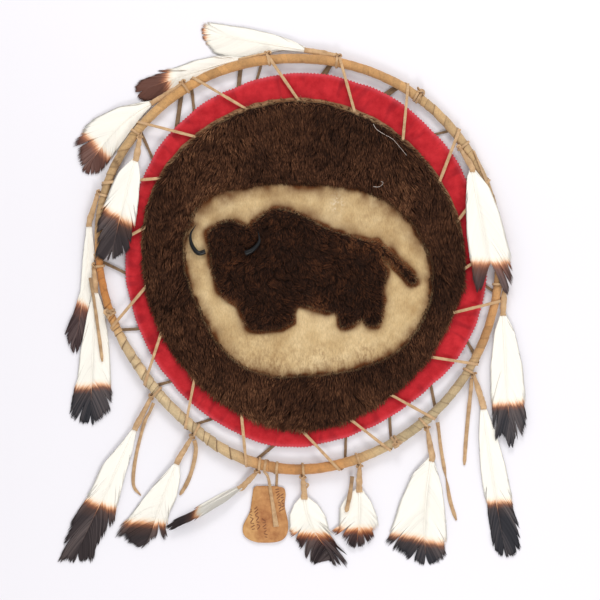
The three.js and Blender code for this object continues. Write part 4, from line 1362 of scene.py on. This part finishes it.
def bezierWay(points, s):
    # The way along that curve: its two legs weighed by 1-s and s.
    a, b, c = [np.asarray(p, float) for p in points]
    s = np.asarray(s)[..., None]
    return unit((b - a) * (1 - s) + (c - b) * s)


def intoDark(f, x, y):
    # Distance past the line where the dark tip starts, on the side of the shaft's tip.
    a, b = np.array(f["dark"], float)
    out = np.array([b[1] - a[1], a[0] - b[0]]) / np.linalg.norm(b - a)
    out = out * np.sign(np.dot(np.array(f["shaft"][2]) - f["shaft"][0], out))
    return (x - a[0]) * out[0] + (y - a[1]) * out[1]


def barbMesh(f, edge, seed):
    # Barbs of one side: barb t leaves the shaft at share end*t**lean and ends at share t of the
    # edge line. Across the shaft it runs evenly, along it by w**stiff, so it bends forward. The
    # barbs' ends close up in groups, much more in the dark tip, which is ragged too.
    count = plume["barbs"]
    number = np.arange(count)
    t = (number + 0.5 + 0.5 * (scatter(number, seed=seed) - 0.5)) / count
    s = plume["end"] * t ** plume["lean"]
    shaft = f["shaft"]
    length = steps(bezier(shaft, np.linspace(0, 1, 20))).sum()
    base, end = bezier(shaft, s), alongLine(edge, t)
    darkness = smooth(intoDark(f, *end.T), -6, 14)
    groups = np.floor(plume["groups"] * t + 1.4 * noise(t * 7, 0.5, seed + 1))
    centre = np.array([t[groups == g].mean() for g in groups])
    split = 0.03 + 0.3 * (scatter(groups, seed=seed + 13) > 0.9)
    close = mix(split, f.get("close", 0.2), darkness)
    close = close * (0.5 + scatter(groups, seed=seed + 2))
    drawn = alongLine(edge, np.clip(centre, 0, 1)) - end
    ragged = mix(0.03, f.get("ragged", 0.1), darkness)
    reach = 1 - ragged * (scatter(number, seed=seed + 3) * 0.7 + scatter(groups, seed=seed + 4))
    span = (end - base) * reach[:, None]
    way = bezierWay(shaft, s)
    out = np.stack([-way[:, 1], way[:, 0]], -1)
    forward, across = np.sum(span * way, -1), np.sum(span * out, -1)
    w = np.array([0.0, 0.2, 0.42, 0.64, 0.84, 1.0])
    size = np.linalg.norm(span, axis=1)
    curl = f.get("curl", 0.12) * darkness * (2 * scatter(groups, seed=seed + 5) - 1) * size
    plan = (base[:, None] + out[:, None] * (across[:, None] * w)[..., None]
            + way[:, None] * (forward[:, None] * w ** plume["stiff"])[..., None]
            + drawn[:, None] * (close[:, None] * w ** 3)[..., None])
    aside = unit(np.stack([-span[:, 1], span[:, 0]], -1))
    plan = plan + aside[:, None] * (0.42 * curl[:, None] * w ** 3)[..., None]
    along = s[:, None] + (t - s)[:, None] * w
    high = bezier([[v] for v in f["lift"]], along)[..., 0] + 1.7
    off = np.abs(across)[:, None] * w
    wave = (0.8 * noise(t * 5, 0.5, seed + 6) + 0.5 * noise(t * 17, 0.5, seed + 7))[:, None] * w
    lifts = (1.2 + 3 * f.get("curl", 0.2)) * darkness * scatter(groups, seed=seed + 8)
    z = high - plume["crown"] * off + wave + lifts[:, None] * w ** 2
    z = z + f.get("tilt", 0) * across[:, None] * w
    z = np.maximum(z, 0.45 + 0.3 * w)
    tips = np.concatenate([plan, z[..., None]], -1)
    ways = unit(np.cross(np.gradient(tips, axis=1), (0, 0, 1.0)))[:, :-1]
    spacing = length / count
    edgeLong = steps(alongLine(edge, np.linspace(0, 1, 60))).sum()
    spacing = mix(spacing, max(spacing, edgeLong / count), w[:-1])
    widths = spacing * np.array([1.9, 1.8, 1.75, 1.7, 1.5]) * np.ones((count, 1))
    shade = 0.6 + 0.36 * (scatter(number, seed=seed + 9) - 0.5) + 0.3 * noise(t * 8, 0.5, seed + 10)
    places, faces, uv = lockMesh(tips, ways, widths, shade, ridge=0.22)
    into = intoDark(f, plan[..., 0], plan[..., 1]) + 2.5 * noise(t * 9, 0.5, seed + 11)[:, None]
    into = into + 4 * (scatter(number, seed=seed + 12) - 0.5)[:, None]
    v = np.clip(0.33 + into / plume["fade"], 0.002, f.get("deep", 0.998))
    v = np.concatenate([np.repeat(v[:, :-1], 3, 1), v[:, -1:]], 1).reshape(-1)
    uv[:, 1] = v
    return (places, faces), uv


def makeFeather(name, f, seed):
    # Both sides' barbs, and the shaft as a round tube that thins towards the tip.
    parts, maps = [], []
    for k, edge in enumerate(f["edges"]):
        part, uv = barbMesh(f, np.array(edge, float).reshape(-1, 2), seed + 20 * k)
        parts.append(part)
        maps.append(uv)
    count, corners = plume["shaftPoints"], plume["shaftCorners"]
    s = np.linspace(-0.02, 1.0, count)
    plan = bezier(f["shaft"], s)
    z = bezier([[v] for v in f["lift"]], np.clip(s, 0, 1))[:, 0] + 1.75
    line = np.concatenate([plan, np.maximum(z, 1.0)[:, None]], 1)
    thick = mix(*plume["shaftWidths"], smooth(s, 0, 1))
    parts.append(strapMesh(line, levelSide(line), thick * 1.1, thick, corners=corners, edge=1.0))
    v = np.clip(0.31 + intoDark(f, *plan.T) / 110, 0.002, min(0.6, f.get("deep", 1)))
    v = np.append(np.repeat(v, corners), [v[0], v[-1]])
    u = 0.86 + 0.02 * np.append(np.tile(np.arange(corners) / corners, count), [0, 0])
    maps.append(np.stack([u, v], -1))
    places, faces = joinParts(parts)
    makePiece(name + "_plume", places, faces, plumes[f["tint"]], stands=[name],
              uv=np.concatenate(maps))


for number, (key, f) in enumerate(feathers.items()):
    makeFeather(f"feather_{key}", f, 100 + 50 * number)
print("feathers made")

# Leather sleeves, ties and knots

ties = {
    "band": 3.6, "bandThick": 1.4, "turns": 372, "slip": 0.35, "bandPoints": 54,
    "thick": 4.6, "widths": [4.5, 6.5, 8.2, 8.6, 8.0],  # of the sleeve, along it
    "points": 40, "corners": 16,
    "mouth": 7,  # how far the sleeve reaches past the shaft's start
    "quill": 1.9,  # of the quill's middle over the feather's own height
    "outTurn": 8, "inTurn": 150,  # where the knot sits round the rod
    "knotUp": 3.4, "knotLift": 0.6, "knotSize": 4.6, "knotWidth": 3.0,
    "stripThick": 1.6, "stripPoints": 30,
}


def outOfRod(angle, turn):
    # The way straight out of the rod's surface.
    return unit(onRod(angle, turn, 1.0) - onRod(angle, turn))


def knotMesh(middle, out, right, size, width, thick=1.3):
    # An overhand knot of flat thong: x = sin t + 2 sin 2t, y = cos t - 2 cos 2t and height
    # -sin 3t, laid on two ways across and one out.
    t = np.linspace(0.35, 2 * np.pi - 0.05, 60)
    up = np.cross(out, right)
    out = np.cross(right, up)
    x, y = np.sin(t) + 2 * np.sin(2 * t), np.cos(t) - 2 * np.cos(2 * t)
    line = middle + (right * x[:, None] + up * y[:, None] * 0.85) * size / 3
    line = line - out * (np.sin(3 * t) * 1.25 * thick)[:, None]
    return strapMesh(line, unit(line - middle) + 0.001, width, thick)


def bandMesh(angle, start, off=0.9):
    # A band once round the rod from that turn on, which slips a little along it.
    turn = np.linspace(start, start + ties["turns"], ties["bandPoints"])
    way = angle + ties["slip"] * np.linspace(-1, 1, ties["bandPoints"])
    line = onRod(way, turn, off + ties["bandThick"] / 2)
    return strapMesh(line, polar(way + 90, 1), ties["band"], ties["bandThick"])


def sleeveMesh(points, widths, seed):
    # A folded strip round the quill: a flattened tube along a smooth line, its lapped edge a step
    # in the radius, with creases across it and wider and narrower places.
    count, corners = ties["points"], ties["corners"]
    line = smoothLine(points, count)
    share = np.linspace(0, 1, count)
    side, up = framesAlong(line, levelSide(line))
    turn = np.arange(corners) * 2 * np.pi / corners + 0.3
    width = np.interp(share, np.linspace(0, 1, len(widths)), widths)
    width = width * (1 + 0.13 * noise(share * 7, seed, 81))
    tall = np.interp(share, [0, 0.2, 0.9, 1], [3.0, ties["thick"], ties["thick"], 3.4])
    crease = 1 + 0.09 * noise(share[:, None] * 16, np.cos(turn) * 1.2 + seed, 82)
    lap = 1 + 0.16 * smooth(np.sin(turn - 0.9), 0.2, 0.35)[None] * np.ones((count, 1))
    c, s = np.cos(turn), np.sin(turn)
    wide, high = width[:, None, None] / 2, tall[:, None, None] / 2
    rings = (line[:, None] + side[:, None] * (c * crease * lap)[..., None] * wide
             + up[:, None] * (s * crease * lap)[..., None] * high)
    rings[..., 2] = np.maximum(rings[..., 2], 0.2)
    places = np.concatenate([rings.reshape(-1, 3), line[:1], line[-1:]])
    return places, tubeFaces(count, corners)


def makeTie(key, f, seed):
    # A band round the rod, a knot on it, the sleeve from the knot to the quill, and on some a
    # further flat strip.
    tie = f["tie"]
    turnAt = ties["inTurn"] if f.get("inward") else ties["outTurn"]
    knot = onRod(tie, turnAt, ties["knotUp"])
    root = np.array([*f["shaft"][0], f["lift"][0] + ties["quill"]])
    mouth = root + ties["mouth"] * np.append(bezierWay(f["shaft"], 0.0), 0)
    if "sleeve" in f:
        route = [knot] + [np.array(p, float) for p in f["sleeve"]] + [mouth]
    else:
        route = [knot, mix(knot, root, 0.5), root, mouth]
    out = outOfRod(tie, turnAt)
    parts = [bandMesh(tie, turnAt - 10),
             knotMesh(knot + out * ties["knotLift"], out, polar(tie + 90, 1.0),
                      ties["knotSize"], ties["knotWidth"]),
             sleeveMesh(route, f.get("sleeveWidths", ties["widths"]), seed)]
    if "strip" in f:
        strip = smoothLine(f["strip"], ties["stripPoints"])
        aside = np.cross(unit(np.gradient(strip, axis=0)), unit([*strip[0, :2], 160.0]))
        parts.append(strapMesh(strip, unit(aside), f["stripWidth"], ties["stripThick"]))
    places, faces = joinParts(parts)
    toneAndShade = 0.92 + 0.14 * noise(places[:, 0] * 0.12, places[:, 1] * 0.12, 83 + seed)
    makePiece(f"tie_{key}", places, faces, thongLeather,
              stands=[f"feather_tie_{key}"], marks={"toneAndShade": np.clip(toneAndShade, 0, 1)})


for number, (key, f) in enumerate(feathers.items()):
    makeTie(key, f, number)

knots = {
    "up": 3.2, "size": 6.4, "width": 3.8, "thick": 1.5,
    # for each bare knot: the angle round the hoop and the turn round the rod
    "places": {"knot_top_right": (35.6, 20), "knot_lower_right": (151, 75),
               "knot_left": (255, 70)},
}


def makeKnot(name, angle, turn):
    # Two bands side by side and a knot on them.
    middle = onRod(angle, turn, knots["up"])
    places, faces = joinParts([
        bandMesh(angle, turn), bandMesh(angle + 0.9, turn + 5, off=1.1),
        knotMesh(middle, outOfRod(angle, turn), polar(angle + 90, 1.0), knots["size"],
                 knots["width"], knots["thick"])])
    toneAndShade = 0.85 + 0.15 * noise(places[:, 0] * 0.2, places[:, 1] * 0.2, 84)
    makePiece(name + "_thong", places, faces, thongLeather, stands=[name],
              marks={"toneAndShade": toneAndShade})


for name, (angle, turn) in knots["places"].items():
    makeKnot(name, angle, turn)
print("ties and knots made")

# Horns

horns = {
    "points": 46, "corners": 20, "thinning": 0.92, "power": 1.5,
    "pieces": {
        "horn_left": {"width": 7.5, "z": 15.3,
                      "line": [[-138, 17], [-149, 15], [-158, 27], [-160, 43], [-152, 57]]},
        "horn_right": {"width": 8.5, "z": 23.9,
                       "line": [[-78, 14], [-66, 20], [-57, 32], [-59, 47]]},
    },
}


def hornMaterial():
    # Polished black with a faint blue green cast and fine lines along it.
    material, tree, shader = startMaterial("polished horn", 0.32, Specular_IOR_Level=0.3)
    lines = grain(tree, 600, 3, 0.6)
    colour = ramp(tree, lines, [(0.3, paint(5, 5, 6)), (0.7, paint(13, 14, 16))])
    setColour(tree, shader, colour)
    bump(tree, shader, lines, 0.0002)
    return material


def makeHorn(name, h, material):
    # A tapering round tube along a smooth line: the width falls by thinning times the share of
    # the length, raised to that power.
    places = [[x, y, h["z"] + 0.8 * np.sin(i)] for i, (x, y) in enumerate(h["line"])]
    line = smoothLine(places, horns["points"])
    share = np.linspace(0, 1, horns["points"])
    thick = h["width"] * (1 - horns["thinning"] * share ** horns["power"])
    thick = thick * (1 + 0.03 * noise(share * 16, 0.5, 91))
    places, faces = strapMesh(line, levelSide(line), thick, thick, corners=horns["corners"],
                              edge=1.0)
    makePiece(name + "_polished", places, faces, material, stands=[name])


hornShine = hornMaterial()
for name, h in horns["pieces"].items():
    makeHorn(name, h, hornShine)

# Tag

tag = {
    "low": 1.8, "thick": 2.4, "hole": (-32, -396), "grid": (132, 106), "strokeDepth": 0.32,
    "strokeHalf": (1.3, 2.6), "strokeEdge": (0.35, 0.95),
    "outline": [[-65, -337], [-53, -335], [-24, -337], [-18, -346], [-19, -366], [-14, -392],
                [-17, -410], [-30, -419], [-60, -420], [-79, -411], [-82, -396], [-72, -374],
                [-68, -350]],
    # rows of shallow burnt strokes, no letters: start, end and number of strokes
    "rows": [[(-72, -368), (-66, -402), 8], [(-63, -366), (-58, -400), 8],
             [(-51, -384), (-47, -414), 7], [(-31, -338), (-25, -374), 9],
             [(-23.5, -346), (-21, -372), 6]],
}


def tagMaterial():
    # Smooth veg-tan: clouded, redder in the middle, yellower at the left, burnt strokes.
    material, tree, shader = startMaterial("tag leather", 0.6, Specular_IOR_Level=0.4)
    clouds = grain(tree, 90, 6, 0.6)
    red = ramp(tree, clouds, [(0.3, paint(152, 92, 48)), (0.7, paint(200, 142, 86))])
    pale = ramp(tree, clouds, [(0.3, paint(180, 126, 72)), (0.7, paint(216, 168, 108))])
    colour = blend(tree, mark(tree, "pale"), red, pale)
    pores = grain(tree, 1300, 3, 0.6)
    colour = shaded(tree, 0.35, colour, pores, [(0.35, 0.7), (0.6, 1.0)])
    colour = blend(tree, mark(tree, "burnt"), colour, paint(104, 56, 30))
    setColour(tree, shader, colour)
    bump(tree, shader, sums(tree, "ADD", pores, clouds), 0.0003)
    return material


def makeTag():
    # Each row runs from the outline's left side to its right side at one height; the face is a
    # grid of those, sunk along the strokes and rounded off towards the outline.
    outline = np.array(tag["outline"], float)
    outline = smoothLine(np.concatenate([outline[-3:], outline, outline[:4]]), 700)
    low, high = outline[:, 1].min(), outline[:, 1].max()
    rows, columns = tag["grid"]
    v = 0.5 - 0.5 * np.cos(np.linspace(0, np.pi, rows + 2)[1:-1])
    v = mix(np.linspace(0.004, 0.996, rows), v, 0.5)
    y = low + (high - low) * v
    a, b = outline, np.roll(outline, -1, 0)
    a, b = a[:-1], b[:-1]
    t = (y[:, None] - a[:, 1]) / np.where(b[:, 1] == a[:, 1], 1e-9, b[:, 1] - a[:, 1])
    crossing = a[:, 0] + t * (b[:, 0] - a[:, 0])
    hit = (t >= 0) & (t <= 1)
    left = np.where(hit, crossing, np.inf).min(1)
    right = np.where(hit, crossing, -np.inf).max(1)
    u = mix(np.linspace(0, 1, columns), 0.5 - 0.5 * np.cos(np.linspace(0, np.pi, columns)), 0.3)
    gridX = mix(left[:, None], right[:, None], u)
    gridY = np.broadcast_to(y[:, None], gridX.shape)
    burnt = np.zeros(gridX.shape)
    for k, (start, end, count) in enumerate(tag["rows"]):
        start, end = np.array(start, float), np.array(end, float)
        way = unit(end - start)
        aside = np.array([-way[1], way[0]])
        for i in range(count):
            at = mix(start, end, (i + 0.5) / count)
            tilt = 1.9 * (scatter(i, k, seed=95) - 0.5)
            half = (aside + way * tilt) * mix(*tag["strokeHalf"], scatter(i, k, seed=96))
            p = np.stack([gridX, gridY], -1) - (at - half)
            share = np.clip(np.sum(p * 2 * half, -1) / np.sum(4 * half * half), 0, 1)
            away = np.linalg.norm(p - share[..., None] * 2 * half, axis=-1)
            burnt = np.maximum(burnt, 1 - smooth(away, *tag["strokeEdge"]))
    edge = np.minimum(np.minimum(u, 1 - u)[None] * (right - left)[:, None],
                      np.minimum(y - low, high - y)[:, None])
    face = tag["low"] + tag["thick"] - 0.8 * (1 - smooth(edge, 0, 1.6)) ** 2
    face = face + 0.1 * noise(gridX * 0.5, gridY * 0.5, 98) - tag["strokeDepth"] * burnt
    top = np.stack([gridX, gridY, face], -1)
    under = np.stack([gridX, gridY, np.full(gridX.shape, tag["low"])], -1)
    places = np.concatenate([top.reshape(-1, 3), under.reshape(-1, 3)])
    n = rows * columns
    topFaces = gridFaces(rows, columns, closed=False)
    lowFaces = gridFaces(rows, columns, closed=False, first=n)[:, ::-1]
    rim = np.concatenate([np.arange(columns), np.arange(1, rows) * columns + columns - 1,
                          (rows - 1) * columns + np.arange(columns - 2, -1, -1),
                          np.arange(rows - 2, 0, -1) * columns])
    after = np.roll(rim, -1)
    side = np.stack([rim, rim + n, after + n, after], -1)
    pale = smooth(-gridX, 52, 76)
    middle = np.exp(-(((gridX + 48) / 14) ** 2 + ((gridY + 385) / 24) ** 2))
    pale = np.clip(pale + 0.35 - 0.5 * middle, 0, 1)
    marks = {"burnt": np.append(burnt, 0 * burnt),
             "pale": np.append(pale, pale)}
    makePiece("tag_face", places, [topFaces, lowFaces, side], tagMaterial(),
              stands=["leather_tag"], marks=marks)


makeTag()


def makeTagThong():
    # Up from the tag's hole over the rod, one and a half times round it beside itself, and down
    # behind the tag to the hole again.
    x, y = tag["hole"]
    face = tag["low"] + tag["thick"]
    turn = np.linspace(22, 600, 60)
    angle = mix(189.1, 185.8, smooth(turn, 150, 390))
    wraps = onRod(angle, turn, 1.3)
    up = smoothLine([[x, y - 0.5, face - 1.5], [x - 0.5, y + 3, face + 1.2],
                     [x - 4, y + 26, face + 1.0], [x - 8, -345, face + 2.2],
                     [x - 12, -322, 10], wraps[0]], 44)
    down = smoothLine([wraps[-1], [-31, -322, 1.0], [-32, -345, 0.9], [-31.5, -375, 0.9],
                       [x + 0.5, y + 3, 0.9]], 34)
    line = np.concatenate([up[:-1], wraps, down[1:]])
    front = (np.arange(len(line)) < len(up) - 1)[:, None]
    side = np.where(front, [1.0, 0.15, 0], polar(187 + 90, -1.0))
    share = np.linspace(0, 1, len(line))
    width = np.interp(share, [0, 0.12, 0.3, 1], [8.6, 5.6, 4.0, 4.0])
    places, faces = strapMesh(line, side, width, 1.2)
    toneAndShade = np.append(np.repeat(0.85 + 0.1 * noise(share * 14, 0.5, 99), 8), [1, 1])
    makePiece("tag_strand", places, faces, thongLeather, stands=["tag_thong"],
              marks={"toneAndShade": toneAndShade})


makeTagThong()
print("horns and tag made")

# Pieces and triangles of the scene

print(f"{len(pieceTriangles)} pieces, {sum(pieceTriangles)} triangles")
